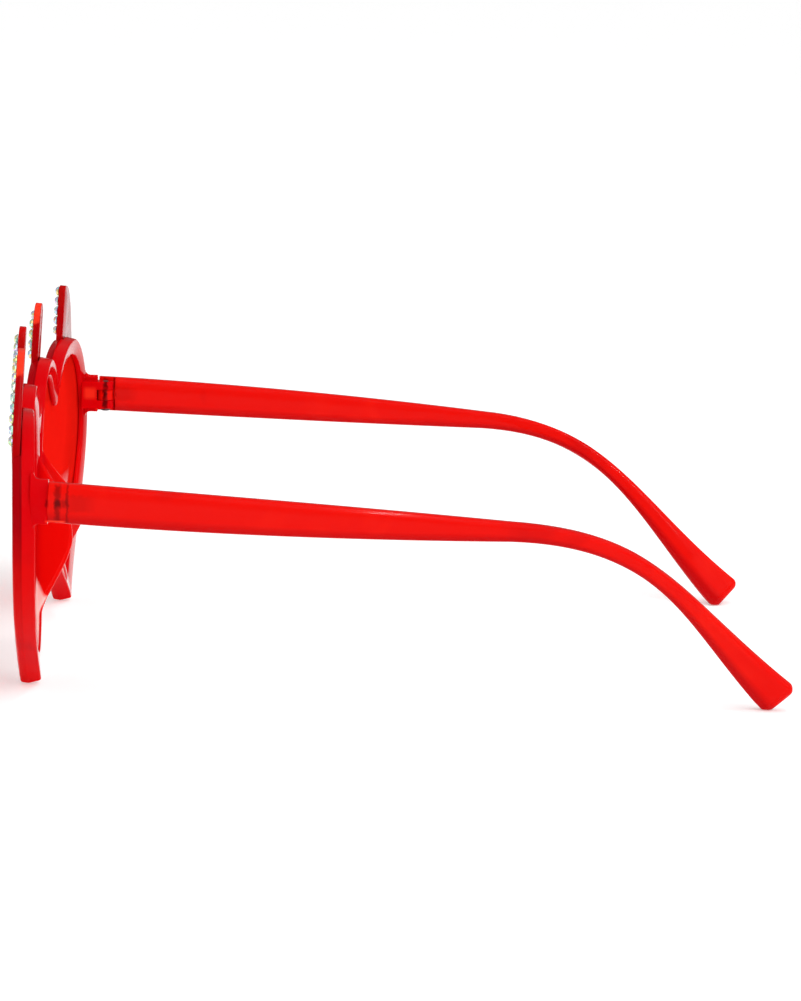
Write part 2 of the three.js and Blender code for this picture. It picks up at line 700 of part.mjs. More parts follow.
function templeGeometry() {
  const [shaft, ear] = templeLine().curves;
  const shares = Array.from({ length: TEMPLE_STEPS }, (_, i) => (i + 1) / TEMPLE_STEPS);
  const ringAt = (curve, share) => {
    return templeRing(curve.getPoint(share), curve.getTangent(share), templeSection(curve === ear, share));
  };
  const rings = [0, ...shares].map((share) => ringAt(shaft, share));
  shares.forEach((share) => rings.push(ringAt(ear, share)));
  const along = ear.getTangent(1);
  for (let i = 1; i <= END_STEPS; i += 1) {
    const angle = i * Math.PI / 2 / (END_STEPS + 0.5);
    const end = templeSection(true, 1);
    const less = 2 * TIP_ROUND * (1 - Math.cos(angle));
    end.height -= less;
    end.thickness -= less;
    rings.push(templeRing(ear.getPoint(1).addScaledVector(along, TIP_ROUND * Math.sin(angle)), along, end));
  }
  return hingedTemple(loft(rings, false));
}

// The end at the hinge is hollowed behind its outer skin, round the knuckles of the front, and
// carries a knuckle of its own between them.
function hingedTemple(arm) {
  const skin = PIN_INSET - TEMPLE_SKIN;
  const pocketEnd = KNUCKLE_RADIUS + HINGE_FIT;
  const tall = TEMPLE_HINGE_HEIGHT;
  const pocket = block(-OVERSHOOT, skin, BUTT_Y - OVERSHOOT, pocketEnd, -tall, tall);
  const half = KNUCKLE_HEIGHT / 2;
  const knuckle = joined([
    post(KNUCKLE_RADIUS, -half, half),
    block(0, skin + PIN_FIT, -KNUCKLE_RADIUS / 2, pocketEnd + PIN_FIT, -half, half),
  ]);
  const reach = SHAFT_LENGTH + EAR_REACH + OVERSHOOT;
  const table = block(-reach, reach, 0, reach, -2 * HINGE_HEIGHT, -HINGE_HEIGHT);
  return cut(joined([cut(arm, [pocket]), knuckle]), [pinBore(), table]);
}

// Assembly

const glasses = new THREE.Group();

function place(name, geometry, material) {
  const mesh = new THREE.Mesh(geometry, material);
  mesh.name = name;
  return mesh;
}

glasses.add(place('frame_front', frontGeometry(), RED_PLASTIC));

const lens = lensGeometry();
const temple = templeGeometry();
const stone = stoneGeometry();
const crests = { outer: OUTER_CREST, inner: INNER_CREST };

[['left', 1], ['right', -1]].forEach(([name, side]) => {
  const handed = (geometry) => (side > 0 ? geometry : mirrored(geometry));
  glasses.add(place(`${name}_lens`, handed(lens), RED_LENS));

  const hinge = new THREE.Group();
  hinge.position.set(side * PIN_X, PIN_Y, HINGE_HEIGHT);
  hinge.add(place(`${name}_temple`, handed(temple), RED_PLASTIC));
  hinge.add(place(`${name}_hinge_pin`, pinGeometry(), PIN_STEEL));
  glasses.add(hinge);

  Object.entries(crests).forEach(([where, crest]) => {
    glasses.add(place(`${name}_${where}_crest`, handed(crestGeometry(crest)), RED_PLASTIC));
    stonePlaces(crest).forEach((spot, i) => {
      const number = String(i + 1).padStart(2, '0');
      const mesh = place(`${name}_${where}_stone_${number}`, stone, CUT_STONE);
      glasses.add(setStone(mesh, crest, spot, side));
    });
  });
});

// The part's origin is on the table, under the middle of its box.
const box = new THREE.Box3().setFromObject(glasses);
glasses.position.y = -(box.min.y + box.max.y) / 2;

export default glasses;
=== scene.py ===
"""Heart-shaped party glasses in a pale studio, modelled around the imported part."""

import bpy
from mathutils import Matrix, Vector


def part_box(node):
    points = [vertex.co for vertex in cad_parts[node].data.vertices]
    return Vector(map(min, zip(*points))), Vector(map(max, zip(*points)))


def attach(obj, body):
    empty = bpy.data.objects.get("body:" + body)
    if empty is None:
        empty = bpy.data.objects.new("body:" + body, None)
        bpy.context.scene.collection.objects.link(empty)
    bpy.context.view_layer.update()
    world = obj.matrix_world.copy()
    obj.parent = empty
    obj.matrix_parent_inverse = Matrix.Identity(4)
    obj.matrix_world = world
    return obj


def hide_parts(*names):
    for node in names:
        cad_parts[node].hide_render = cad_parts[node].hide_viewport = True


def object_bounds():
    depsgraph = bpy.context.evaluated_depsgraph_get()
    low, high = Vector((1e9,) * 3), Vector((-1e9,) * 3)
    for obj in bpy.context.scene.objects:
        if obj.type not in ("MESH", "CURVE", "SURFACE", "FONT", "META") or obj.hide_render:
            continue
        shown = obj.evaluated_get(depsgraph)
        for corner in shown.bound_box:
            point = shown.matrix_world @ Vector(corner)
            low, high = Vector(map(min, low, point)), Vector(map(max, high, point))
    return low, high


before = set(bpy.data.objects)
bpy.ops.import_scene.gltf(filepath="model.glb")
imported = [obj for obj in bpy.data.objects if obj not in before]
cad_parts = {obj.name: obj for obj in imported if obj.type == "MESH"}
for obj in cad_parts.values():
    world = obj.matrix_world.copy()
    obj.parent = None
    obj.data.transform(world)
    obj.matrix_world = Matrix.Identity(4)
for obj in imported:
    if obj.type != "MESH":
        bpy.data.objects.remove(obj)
CAD_BOX = [list(corner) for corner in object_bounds()]

import math
import random

import bmesh
import bpy
import numpy as np
from bpy.props import FloatProperty, FloatVectorProperty, IntProperty, PointerProperty
from mathutils import Matrix, Vector

bl_info = {
    "name": "Party Glasses",
    "version": (1, 0, 0),
    "blender": (4, 5, 0),
    "location": "View3D > Sidebar > Glasses",
    "description": "Models heart-shaped party glasses piece by piece and sets up their studio",
    "category": "Object",
}

SIDES = ("left", "right")

# Handles of the heart's curves, as shares of the cleft depth, the shoulder height or the lobe
# radius
CLEFT_RUN = 0.36
CLEFT_RISE = 0.48
CLEFT_INSET_RUN = 0.8
CLEFT_INSET_RISE = 0.3
CLEFT_INNER_RUN = 0.8
FLANK_HANDLE = 0.43
TIP_HANDLE = 0.24
TIP_INNER_RUN = 0.8
TIP_INNER_RISE = 0.92
OUTER_LOBE_RISE = 0.7
OUTER_LOBE_TOP = 0.58
OUTER_LOBE_SIDE = 0.53
INNER_LOBE_SIDE = 0.5
INNER_LOBE_TOP = 0.5
INNER_LOBE_FALL = 0.39

# Where the curves over the lobes and along the inner flank stand in the heart's list
OUTER_LOBE = (0, 1)
INNER_FLANK = 3
INNER_LOBE = (4, 5)

# Steps of the curves, the turn of each step round the temples' tips, and sides of the round pieces
CURVE_SAMPLES = 400
CREST_STEPS = 12
PAD_STEPS = 24
TAIL_STEPS = 10
PAD_CROWN_STEPS = 8
BRIDGE_STEPS = 8
FILLET_STEPS = 8
TIP_STEPS = 6
TIP_TURN = math.pi / 2 / 6.4
PIN_SIDES = 32
MARK_SIDES = 24

# How far a cutter runs past what it cuts
SPARE = 0.002


def amount(name, description, default, **settings):
    """A number that a user may change."""
    return FloatProperty(name=name, description=description, default=default, **settings)


def count(name, description, default, least):
    """A whole number that a user may change."""
    return IntProperty(name=name, description=description, default=default, min=least)


def size(name, description, default):
    """A length that a user may change."""
    return amount(name, description, default, unit="LENGTH", precision=5)


def turn(name, description, degrees):
    """An angle that a user may change."""
    return amount(name, description, math.radians(degrees), subtype="ANGLE")


def part(name, description, default):
    """A share that a user may change."""
    return amount(name, description, default, subtype="FACTOR", min=0, max=1)


def paint(name, description, default):
    """A colour that a user may change."""
    return FloatVectorProperty(
        name=name, description=description, default=(*default, 1), size=4, subtype="COLOR",
        min=0, max=1,
    )


class HeartSizes(bpy.types.PropertyGroup):
    """Outline of the hearts, section of their rims, and the curve of the whole front."""

    half_width: size("Half width", "Half the width of one heart", 0.0357)
    height: size("Height", "Height of a heart from its tip to the top of its lobes", 0.0548)
    gap: size("Gap", "Distance between the two hearts", 0.0056)
    shoulder: size("Shoulder", "Height at which a heart is widest", 0.0365)
    outer_lobe: size("Outer lobe", "Top of the outer lobe, from the middle of the heart", 0.0163)
    inner_lobe: size("Inner lobe", "Top of the inner lobe, from the middle of the heart", 0.0185)
    lobe_radius: size("Lobe radius", "Roundness of the lobes", 0.018)
    cleft_depth: size("Cleft depth", "Depth of the notch between the lobes", 0.0082)
    cleft_offset: size("Cleft offset", "Notch, from the middle of the heart", 0.0042)
    tip_offset: size("Tip offset", "Tip, from the middle of the heart", 0.0034)
    tip_flat: size("Tip flat", "How much of the tip is worn flat for standing", 0.00035)
    tip_opening: amount("Tip opening", "Rise of the inner tip for each inset", 1.4)
    rim_width: size("Rim width", "Width of the rim in front view", 0.0038)
    rim_depth: size("Rim depth", "Depth of the rim from front to back", 0.00415)
    rim_edge: size("Rim edge", "Rounding of the rim's edges", 0.0005)
    rim_layer: size("Rim front layer", "Depth of the rim's chamfered front", 0.00155)
    rim_chamfer: size("Rim chamfer", "How much the rim's front is chamfered", 0.00045)
    rim_draft: size("Rim draft", "How much slimmer the rim is at its back", 0.0004)
    seam_inset: size("Seam inset", "Width of the fine step behind the front layer", 0.00002)
    seam_depth: size("Seam depth", "Depth of that step", 0.0001)
    back_fall: size("Back fall", "Fall of the rim's back towards the opening", 0.0005)
    wrap_radius: size("Wrap radius", "Curve of the front round the face", 0.6)
    bow_radius: size("Bow radius", "Curve of the front from top to bottom", 0.372)
    bow_height: size("Bow height", "Height of the foremost line of the front", 0.04)
    steps: count("Steps", "Steps along each curve of a heart", 18, 4)


class FrontSizes(bpy.types.PropertyGroup):
    """Lenses, bridge, nose pads and end pieces."""

    lens_thickness: size("Lens thickness", "Thickness of the tinted lenses", 0.0012)
    lens_setback: size("Lens setback", "Lens, behind the face of the rim", 0.00135)
    lens_hold: size("Lens hold", "How far the lens reaches into its groove", 0.0008)
    lens_fit: size("Lens fit", "Play round the lens in its groove", 0.00025)
    bridge_height: size("Bridge height", "Middle of the bridge over the table", 0.0437)
    bridge_thickness: size("Bridge thickness", "Height of the bridge at its middle", 0.0046)
    bridge_flare: size("Bridge flare", "Growth of the bridge towards the hearts", 0.0015)
    bridge_depth: size("Bridge depth", "Depth of the bridge from front to back", 0.0034)
    bridge_edge: size("Bridge edge", "Rounding of the bridge's edges", 0.0008)
    bridge_root: size("Bridge root", "Run of the bridge's underside into the rims", 0.0028)
    bridge_top_root: size("Bridge top root", "Run of the bridge's top into the rims", 0.0044)
    pad_reach: size("Pad reach", "How far a nose pad stands out behind the rim", 0.0068)
    pad_height: size("Pad height", "Highest place of a nose pad over the table", 0.0205)
    pad_fall: size("Pad fall", "Run of a nose pad below its highest place", 0.012)
    pad_rise: size("Pad rise", "Run of a nose pad above its highest place", 0.0185)
    pad_fullness: amount("Pad fullness", "Power of the nose pads' profile", 1.2)
    pad_sink: size("Pad sink", "How deep the ends of a nose pad run into the rim", 0.00045)
    pad_thickness: size("Pad thickness", "Thickness of a nose pad at its root", 0.0014)
    pad_crown: part("Pad crown", "Width of a nose pad's crown for its thickness", 0.8)
    pad_roundness: amount("Pad roundness", "Power of the nose pads' crown", 0.8)
    pad_splay: turn("Pad splay", "Lean of the nose pads away from the nose", 18)
    tail_reach: size("Pad tail", "Height of the low tail below each nose pad", 0.0007)
    tail_end: size("Pad tail end", "Height over the table at which the tail ends", 0.0028)
    tail_rise: amount("Pad tail rise", "Power of the tail's rise from its end", 0.3)
    hinge_height: size("Hinge height", "Middle of the hinges over the table", 0.0404)
    lug_reach: size("End piece reach", "Length of the end pieces behind the rim", 0.0025)
    lug_height: size("End piece height", "Height of the end pieces at the hinge", 0.008)
    lug_thickness: size("End piece thickness", "Thickness of the end pieces", 0.0034)
    lug_fillet: size("End piece fillet", "Flare of the end pieces into the rim", 0.0011)
    lug_edge: size("End piece edge", "Rounding of the end pieces' edges", 0.0005)
    lug_tuck: size("End piece tuck", "How far the end pieces tuck in at the rim", 0.0009)
    lug_root: size("End piece root", "How far the end pieces run into the rim", 0.0006)
    butt_gap: size("Butt gap", "Gap between the end pieces and the temples", 0.0001)


class HingeSizes(bpy.types.PropertyGroup):
    """Knuckles and pins."""

    pin_inset: size("Pin inset", "Pin, from the outer edge of the heart", 0.0042)
    pin_setback: size("Pin setback", "Pin, behind the butt of the temple", 0.0017)
    pin_radius: size("Pin radius", "Radius of the hinge pin", 0.00065)
    pin_end: size("Pin end", "Height of the pin's tapered end", 0.00012)
    pin_taper: part("Pin taper", "Width of that end for the pin's width", 0.7)
    head_radius: size("Head radius", "Radius of the pin's head", 0.00105)
    head_height: size("Head height", "Height of the pin's head", 0.0005)
    pin_fit: size("Pin fit", "Play round the pin", 0.0001)
    knuckle_radius: size("Knuckle radius", "Radius of the hinge knuckles", 0.0017)
    knuckle_height: size("Knuckle height", "Height of one hinge knuckle", 0.00175)
    knuckle_root: size("Knuckle root", "Run of the knuckles' block into the end piece", 0.0003)
    fit: size("Hinge fit", "Gap between the faces of the hinge", 0.0003)


class TempleSizes(bpy.types.PropertyGroup):
    """Line and section of the temples."""

    hinge_height: size("Height at the hinge", "Height of the temple at the hinge", 0.0074)
    bend_height: size("Height at the bend", "Height where the ear piece begins", 0.0037)
    waist_height: size("Height at the waist", "Height where the ear piece is slimmest", 0.00305)
    tip_height: size("Height at the tip", "Height of the paddle at its end", 0.0077)
    thickness: size("Thickness", "Thickness of the temple at the hinge", 0.0035)
    waist_thickness: size("Ear thickness", "Thickness of the ear piece", 0.003)
    skin: size("Skin", "Outer wall over the hinge", 0.0022)
    butt_edge: size("Butt edge", "Rounding of the temple's butt", 0.00012)
    length: size("Shaft length", "Shaft from the pin to the bend", 0.0825)
    drop: size("Shaft drop", "Fall of the shaft to the bend", 0.004)
    bow: size("Shaft bow", "Outward bow of the shaft", 0.0026)
    ear_reach: size("Ear reach", "Run of the ear piece to the back", 0.0519)
    ear_tuck: size("Ear tuck", "Run of the ear piece inwards", 0.0184)
    ear_waist: part("Ear waist", "Place of the waist along the ear piece", 0.38)
    ear_twist: turn("Ear twist", "Lean of the ear piece's top outwards", 24)
    run_in: size("Run in", "Pull of the shaft on the ear piece", 0.0283)
    run_out: FloatVectorProperty(
        name="Run out", description="Pull of the tip on the ear piece",
        default=(0.0025, -0.0187, 0.0173), unit="LENGTH",
    )
    rest: size("Tip rest", "Middle of the tip over the table", 0.0026)
    tip_round: size("Tip rounding", "Rounding of the end of the paddle", 0.0015)
    mark_radius: size("Mark radius", "Radius of the marks left by the mould's ejectors", 0.0008)
    mark_depth: size("Mark depth", "Depth of those marks", 0.00007)
    mark_fore: size("Fore mark", "Place of the fore mark", -0.0224)
    mark_fore_height: size("Fore mark height", "Height of the fore mark", 0.0388)
    mark_aft: size("Aft mark", "Place of the aft mark", 0.065)
    mark_aft_height: size("Aft mark height", "Height of the aft mark", 0.0102)
    squareness: amount("Squareness", "Squareness of the section", 3.6, min=2)
    steps: count("Steps", "Steps along the shaft and along the ear piece", 34, 4)
    sides: count("Sides", "Sides of the section", 28, 8)


class CrestSizes(bpy.types.PropertyGroup):
    """Crest plates, their rebates and their stones."""

    thickness: size("Thickness", "Thickness of a crest plate", 0.00135)
    edge: size("Edge", "Rounding of a crest plate's edges", 0.00022)
    foot: size("Foot", "How deep a crest plate sits in the rim", 0.0016)
    fit: size("Fit", "Glue gap round the foot of a crest plate", 0.0003)
    tab: size("Tab radius", "Half the width of the inner crest", 0.0026)
    sweep: size("Fin sweep", "Run of the outer crest down the heart", 0.0142)
    fin_turn: amount("Fin turn", "Set-back of the fin's inner side for its width", 0.03)
    tip_lit: part("Bright tips", "Light in the tips that catch it", 0.75)
    tip_dull: part("Dull tips", "Light in the other tips", 0.05)
    stone_radius: size("Stone radius", "Radius of a stone at its girdle", 0.00095)
    stone_girdle: size("Stone girdle", "Height of a stone's girdle", 0.00025)
    stone_break: size("Stone break", "Height of the ring between a stone's facets", 0.00047)
    stone_ring: part("Stone ring", "Width of that ring for the girdle's width", 0.82)
    stone_height: size("Stone height", "Height of a stone", 0.0007)
    stone_table: size("Stone table", "Radius of a stone's flat table", 0.00055)
    stone_sides: count("Stone sides", "Facets round a stone", 10, 6)


class Finishes(bpy.types.PropertyGroup):
    """Colours of the pieces."""

    # Also laid on the front's thin nose pads as painted light
    plastic: paint("Plastic", "Body colour of the temples", (0.71, 0.0035, 0.0015))
    # Also the painted shade along the temples' lower edges
    plastic_deep_and_shade: paint("Plastic, deep", "Darker flow in the plastic", (0.46, 0.001, 0.002))
    plastic_glow: paint("Plastic, thin", "Brighter thin plastic", (0.82, 0.012, 0.004))
    # Painted shade: the front's body red is the temples' red made darker, as if in shade
    rim: paint("Rim", "Body colour of the front", (0.585, 0.001, 0.003))
    # Painted shade on the front's foremost layer, less so lower down; also the deep flow of the
    # front and the crests
    rim_deep_and_shade: paint("Rim band", "Deep red of the foremost layer", (0.34, 0.0006, 0.003))
    # Painted shade: the crest plates' red is darker still, as if in shade
    crest: paint("Crest", "Deep red of the crest plates", (0.37, 0.0008, 0.002))
    shadow: paint("Shadow", "Hinge behind the plastic", (0.07, 0.0004, 0.001))
    glint: paint("Glint", "Light caught in the hinge and the crests", (0.96, 0.05, 0.02))
    # Painted reflection: a pale sheen laid on the lens side of each nose pad's foot
    pad_reflection: paint("Frost", "Pale bloom at the foot of the nose pads", (0.9, 0.62, 0.58))
    lens: paint("Lens", "Tint of the lenses", (0.92, 0.012, 0.006))
    lens_deep: paint("Lens, deep", "Darker tint of the lenses", (0.87, 0.009, 0.005))
    pin: paint("Pin", "Steel of the hinge pins", (0.05, 0.03, 0.03))
    pin_worn: paint("Pin, worn", "Brighter steel where the pins are rubbed", (0.16, 0.11, 0.11))


class StudioSettings(bpy.types.PropertyGroup):
    """Floor, light and camera."""

    floor: paint("Floor", "Colour of the floor", (0.95, 0.95, 0.95))
    floor_lit: amount("Floor light", "Light from below through the floor", 0.3, min=0)
    sky: amount("Sky", "Strength of the even light all round", 0.58, min=0)
    card: amount("Card", "Strength of the light off the dim card at the back", 0.15, min=0)
    key: amount("Key", "Strength of the broad light behind the camera", 0.95, min=0)
    strip: amount("Strip", "Power of the strip light above", 3.2, min=0, unit="POWER")
    lens: amount("Lens", "Focal length of the camera", 138.45, min=1, unit="CAMERA")


# Selecting and finishing

def alone(obj):
    """Select one object and nothing else."""
    bpy.ops.object.select_all(action="DESELECT")
    obj.select_set(True)
    bpy.context.view_layer.objects.active = obj
    return obj


def edit(obj):
    """Open one object in edit mode."""
    alone(obj)
    bpy.ops.object.mode_set(mode="EDIT")


def close(obj):
    """Leave edit mode."""
    bpy.ops.object.mode_set(mode="OBJECT")
    return obj


def settle(obj, name=None):
    """Put the place of a new primitive into its mesh."""
    obj.name = name or obj.name
    bpy.ops.object.transform_apply(location=True, rotation=True, scale=True)
    return obj


def pick_faces(obj, test):
    """In edit mode, select the faces that pass a test."""
    bpy.ops.mesh.select_mode(type="FACE")
    bpy.ops.mesh.select_all(action="DESELECT")
    shape = bmesh.from_edit_mesh(obj.data)
    for face in shape.faces:
        face.select_set(test(face))
    shape.select_flush_mode()
    bmesh.update_edit_mesh(obj.data)


def pull(height, share=1, centre=(0, 0, 0)):
    """Extrude the selection upwards by a height and scale it across by a share."""
    bpy.ops.mesh.extrude_region_move(TRANSFORM_OT_translate={"value": (0, 0, height)})
    bpy.ops.transform.resize(value=(share, share, 1), center_override=centre)


def smooth(obj, degrees=38):
    """Shade round faces smooth and keep the corners crisp."""
    alone(obj)
    bpy.ops.object.shade_smooth_by_angle(angle=math.radians(degrees))
    return obj


def drawn(name, loops, ring=False):
    """A skin drawn through loops of equal length, by extruding each loop to the next. A ring is
    welded where its last loop meets its first. Otherwise both ends are filled."""
    bpy.ops.object.select_all(action="DESELECT")
    bpy.ops.mesh.primitive_circle_add(vertices=len(loops[0]), radius=1, fill_type="NOTHING")
    obj = bpy.context.object
    obj.name = name
    bpy.ops.object.mode_set(mode="EDIT")
    bpy.ops.mesh.select_all(action="SELECT")
    shape = bmesh.from_edit_mesh(obj.data)
    rank = {}
    for number, (vert, place) in enumerate(zip(shape.verts, loops[0])):
        vert.co = place
        rank[tuple(vert.co)] = number
    for loop in loops[1:]:
        bpy.ops.mesh.extrude_region_move()
        shape = bmesh.from_edit_mesh(obj.data)
        moved = {}
        for vert in shape.verts:
            if vert.select:
                number = rank[tuple(vert.co)]
                vert.co = loop[number]
                moved[tuple(vert.co)] = number
        rank = moved
    if ring:
        bpy.ops.mesh.select_all(action="SELECT")
        bpy.ops.mesh.remove_doubles(threshold=1e-7)
    else:
        bpy.ops.mesh.edge_face_add()
        bpy.ops.mesh.select_all(action="DESELECT")
        bpy.ops.mesh.select_mode(type="EDGE")
        bpy.ops.mesh.select_non_manifold(extend=False)
        bpy.ops.mesh.edge_face_add()
    bpy.ops.mesh.select_all(action="SELECT")
    bpy.ops.mesh.normals_make_consistent(inside=False)
    return close(obj)


def applied(obj, kind, **settings):
    """Give an object a modifier and apply it."""
    alone(obj)
    modifier = obj.modifiers.new(kind.lower(), kind)
    for key, value in settings.items():
        setattr(modifier, key, value)
    bpy.ops.object.modifier_apply(modifier=modifier.name)
    return obj


def combined(obj, others, operation):
    """Add other solids to an object or cut them out of it."""
    for other in others:
        applied(obj, "BOOLEAN", operation=operation, object=other, solver="EXACT")
        bpy.data.objects.remove(other)
    return obj


def copied(mesh, name):
    """A new object with its own copy of a mesh."""
    obj = bpy.data.objects.new(name, mesh.copy())
    bpy.context.scene.collection.objects.link(obj)
    return obj


def reflected(obj, name):
    """The same piece on the other side of the wearer's middle plane."""
    copy = copied(obj.data, name)
    copy.data.transform(Matrix.Scale(-1, 4, (1, 0, 0)))
    copy.data.flip_normals()
    return copy


def stood(obj):
    """Flatten what would reach below the table."""
    for vert in obj.data.vertices:
        vert.co.z = max(vert.co.z, 0)
    return obj


def dress(obj, body, slot, material, *nodes):
    """Finish a piece within the CAD box: its body, the CAD nodes that it stands for and its
    material. The slot given to it is not used."""
    for vert in obj.data.vertices:
        vert.co = [min(max(value, low), high) for value, low, high in zip(vert.co, *CAD_BOX)]
    obj.data.materials.clear()
    obj.data.materials.append(material)
    for polygon in obj.data.polygons:
        polygon.material_index = 0
    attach(obj, body)
    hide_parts(*nodes)
    return obj


def rounded(corners, radius, steps=3):
    """A closed section with its corners rounded."""
    points = []
    for number, corner in enumerate(corners):
        before = (corners[number - 1] - corner).normalized() * radius
        after = (corners[(number + 1) % len(corners)] - corner).normalized() * radius
        for step in range(steps + 1):
            share = step / steps
            start = corner + before * (1 - share) ** 2
            points.append(start + after * share ** 2)
    return points


def oblong(left, right, high, radius):
    """A rectangle with rounded corners, from its reach to each side and half its height."""
    corners = [(-left, -high), (right, -high), (right, high), (-left, high)]
    return rounded([Vector(corner) for corner in corners], radius)


def mark(obj, name, value):
    """Keep a value of each vertex for the materials."""
    kept = obj.data.attributes.new(name, "FLOAT", "POINT")
    for entry, vert in zip(kept.data, obj.data.vertices):
        entry.value = value(vert.co)


def mix(start, end, share):
    """A value between two others."""
    return start + (end - start) * share


# The curved front

def hinge_pin():
    """Place of the left hinge pin, at the middle of its knuckles."""
    low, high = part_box("left_hinge_pin")
    middle = (low + high) / 2
    return Vector((middle.x, middle.y, bpy.context.scene.party_front.hinge_height))


def sag(x, z):
    """How far the front curves back at a place."""
    hearts = bpy.context.scene.party_hearts
    wrap = x ** 2 / (2 * hearts.wrap_radius)
    return wrap + (z - hearts.bow_height) ** 2 / (2 * hearts.bow_radius)


def front_face():
    """Place of the foremost line of the front."""
    hearts, front = bpy.context.scene.party_hearts, bpy.context.scene.party_front
    hinge = bpy.context.scene.party_hinge
    pin = hinge_pin()
    to_rim = hearts.rim_depth + sag(pin.x, pin.z)
    return pin.y - (to_rim + front.lug_reach + hinge.fit + hinge.pin_setback)


def front_depth():
    """A measure of how far a place of the finished front lies behind its curved face."""
    face = front_face()
    return lambda place: place.y - face - sag(place.x, place.z)


def on_front(place):
    """A point of the flat front, given as across, depth and height, on the curved front."""
    hearts = bpy.context.scene.party_hearts
    lean = (place.z - hearts.bow_height) / hearts.bow_radius
    return Vector((
        place.x * (1 - place.y / hearts.wrap_radius),
        place.y + sag(place.x, place.z) + front_face(),
        place.z - place.y * lean,
    ))


def bent(obj):
    """Curve a flat piece of the front round the face."""
    for vert in obj.data.vertices:
        vert.co = on_front(vert.co)
    return obj


def heart_curves(inset):
    """Six curves of the left heart, from the cleft outboard over the outer lobe, down to the tip
    and back up over the inner lobe. An inset moves the whole outline inwards."""
    h = bpy.context.scene.party_hearts
    shrink = 1 - inset / h.lobe_radius
    middle = h.gap / 2 + h.half_width
    top, side = h.height - inset, h.half_width - inset
    cleft = Vector((middle - h.cleft_offset, h.height - h.cleft_depth - inset))
    outer_top = Vector((middle + h.outer_lobe, top))
    outer_side = Vector((middle + side, h.shoulder))
    tip = Vector((middle + h.tip_offset, inset * h.tip_opening - h.tip_flat))
    inner_side = Vector((middle - side, h.shoulder))
    inner_top = Vector((middle - h.inner_lobe, top))
    round_off = h.lobe_radius * shrink
    run = h.cleft_depth * CLEFT_RUN + inset * CLEFT_INSET_RUN
    rise = h.cleft_depth * CLEFT_RISE - inset * CLEFT_INSET_RISE
    flank = Vector((0, h.shoulder * FLANK_HANDLE * shrink))
    point = h.shoulder * TIP_HANDLE
    return [
        (
            cleft,
            cleft + Vector((run, rise)),
            outer_top - Vector((h.lobe_radius * OUTER_LOBE_RISE, 0)),
            outer_top,
        ),
        (
            outer_top,
            outer_top + Vector((OUTER_LOBE_TOP * round_off, 0)),
            outer_side + Vector((0, OUTER_LOBE_SIDE * round_off)),
            outer_side,
        ),
        (outer_side, outer_side - flank, tip + Vector((point, point)), tip),
        (
            tip,
            tip + Vector((-TIP_INNER_RUN * point, TIP_INNER_RISE * point)),
            inner_side - flank,
            inner_side,
        ),
        (
            inner_side,
            inner_side + Vector((0, INNER_LOBE_SIDE * round_off)),
            inner_top - Vector((INNER_LOBE_TOP * round_off, 0)),
            inner_top,
        ),
        (
            inner_top,
            inner_top + Vector((INNER_LOBE_FALL * round_off, 0)),
            cleft + Vector((-CLEFT_INNER_RUN * run, rise)),
            cleft,
        ),
    ]


def along(curve, share):
    """A point of a curve."""
    a, b, c, d = curve
    rest = 1 - share
    near = a * rest ** 3 + b * (3 * rest ** 2 * share)
    return near + c * (3 * rest * share ** 2) + d * share ** 3


def heart_loop(inset, depth):
    """The heart's outline at an inset and a depth of the flat front."""
    steps = bpy.context.scene.party_hearts.steps
    points = [along(curve, step / steps) for curve in heart_curves(inset) for step in range(steps)]
    return [Vector((point.x, depth, point.y)) for point in points]


def share_where(curve, reached):
    """The first share along a curve where its point meets a condition."""
    shares = [step / CURVE_SAMPLES for step in range(CURVE_SAMPLES + 1)]
    return next((share for share in shares if reached(along(curve, share))), 1)


def crest_foot(lobe, reach, inset, extra):
    """The stretch of outline under a crest, lengthened at both ends by a clearance."""
    up, down = (heart_curves(inset)[number] for number in lobe)
    middle = heart_curves(0)[lobe[0]][3].x
    start = share_where(up, lambda point: point.x >= middle - reach[0] - extra)
    end = share_where(down, lambda point: point.x >= middle + reach[1] + extra)
    steps = [step / CREST_STEPS for step in range(CREST_STEPS + 1)]
    rising = [along(up, mix(start, 1, step)) for step in steps[:-1]]
    return rising + [along(down, step * end) for step in steps]


def crest_rebate(lobe, reach, fin_turn):
    """The cutter for the rebate that a crest plate is glued into."""
    crest = bpy.context.scene.party_crest
    end = heart_curves(0)[lobe[0]][3].x + reach[1]
    outline = crest_foot(lobe, reach, crest.foot + crest.fit, crest.fit)
    outline += reversed(crest_foot(lobe, reach, -SPARE, crest.fit))
    return drawn("crest_rebate", [
        [Vector((point.x, depth + fin_turn * (end - point.x), point.y)) for point in outline]
        for depth in (-SPARE, crest.thickness + crest.fit)
    ])


def rim_ring():
    """The flat rim of the left heart, with its lens groove and rounded edges."""
    h, front = bpy.context.scene.party_hearts, bpy.context.scene.party_front
    floor = h.rim_width - front.lens_hold - front.lens_fit
    ahead = front.lens_setback - front.lens_fit
    behind = front.lens_setback + front.lens_thickness + front.lens_fit
    face = [(0, h.rim_layer), (h.rim_chamfer, 0), (h.rim_width, 0), (h.rim_width, ahead)]
    back = [
        (h.rim_width, behind),
        (h.rim_width, h.rim_depth - h.back_fall),
        (h.rim_draft, h.rim_depth),
        (0, h.rim_layer),
    ]
    groove = [(h.rim_width, ahead), (floor, ahead), (floor, behind), (h.rim_width, behind)]
    section = [(h.seam_inset, h.rim_layer + h.seam_depth), (0, h.rim_layer)]
    for corners, after in ((face, groove), (back, [])):
        soft = rounded([Vector(corner) for corner in corners], h.rim_edge)
        steps = len(soft) // len(corners)
        section += [*soft[steps:3 * steps], *after]
    loops = [heart_loop(inset, depth) for inset, depth in section]
    return drawn("moulded_front", [*loops, loops[0]], ring=True)


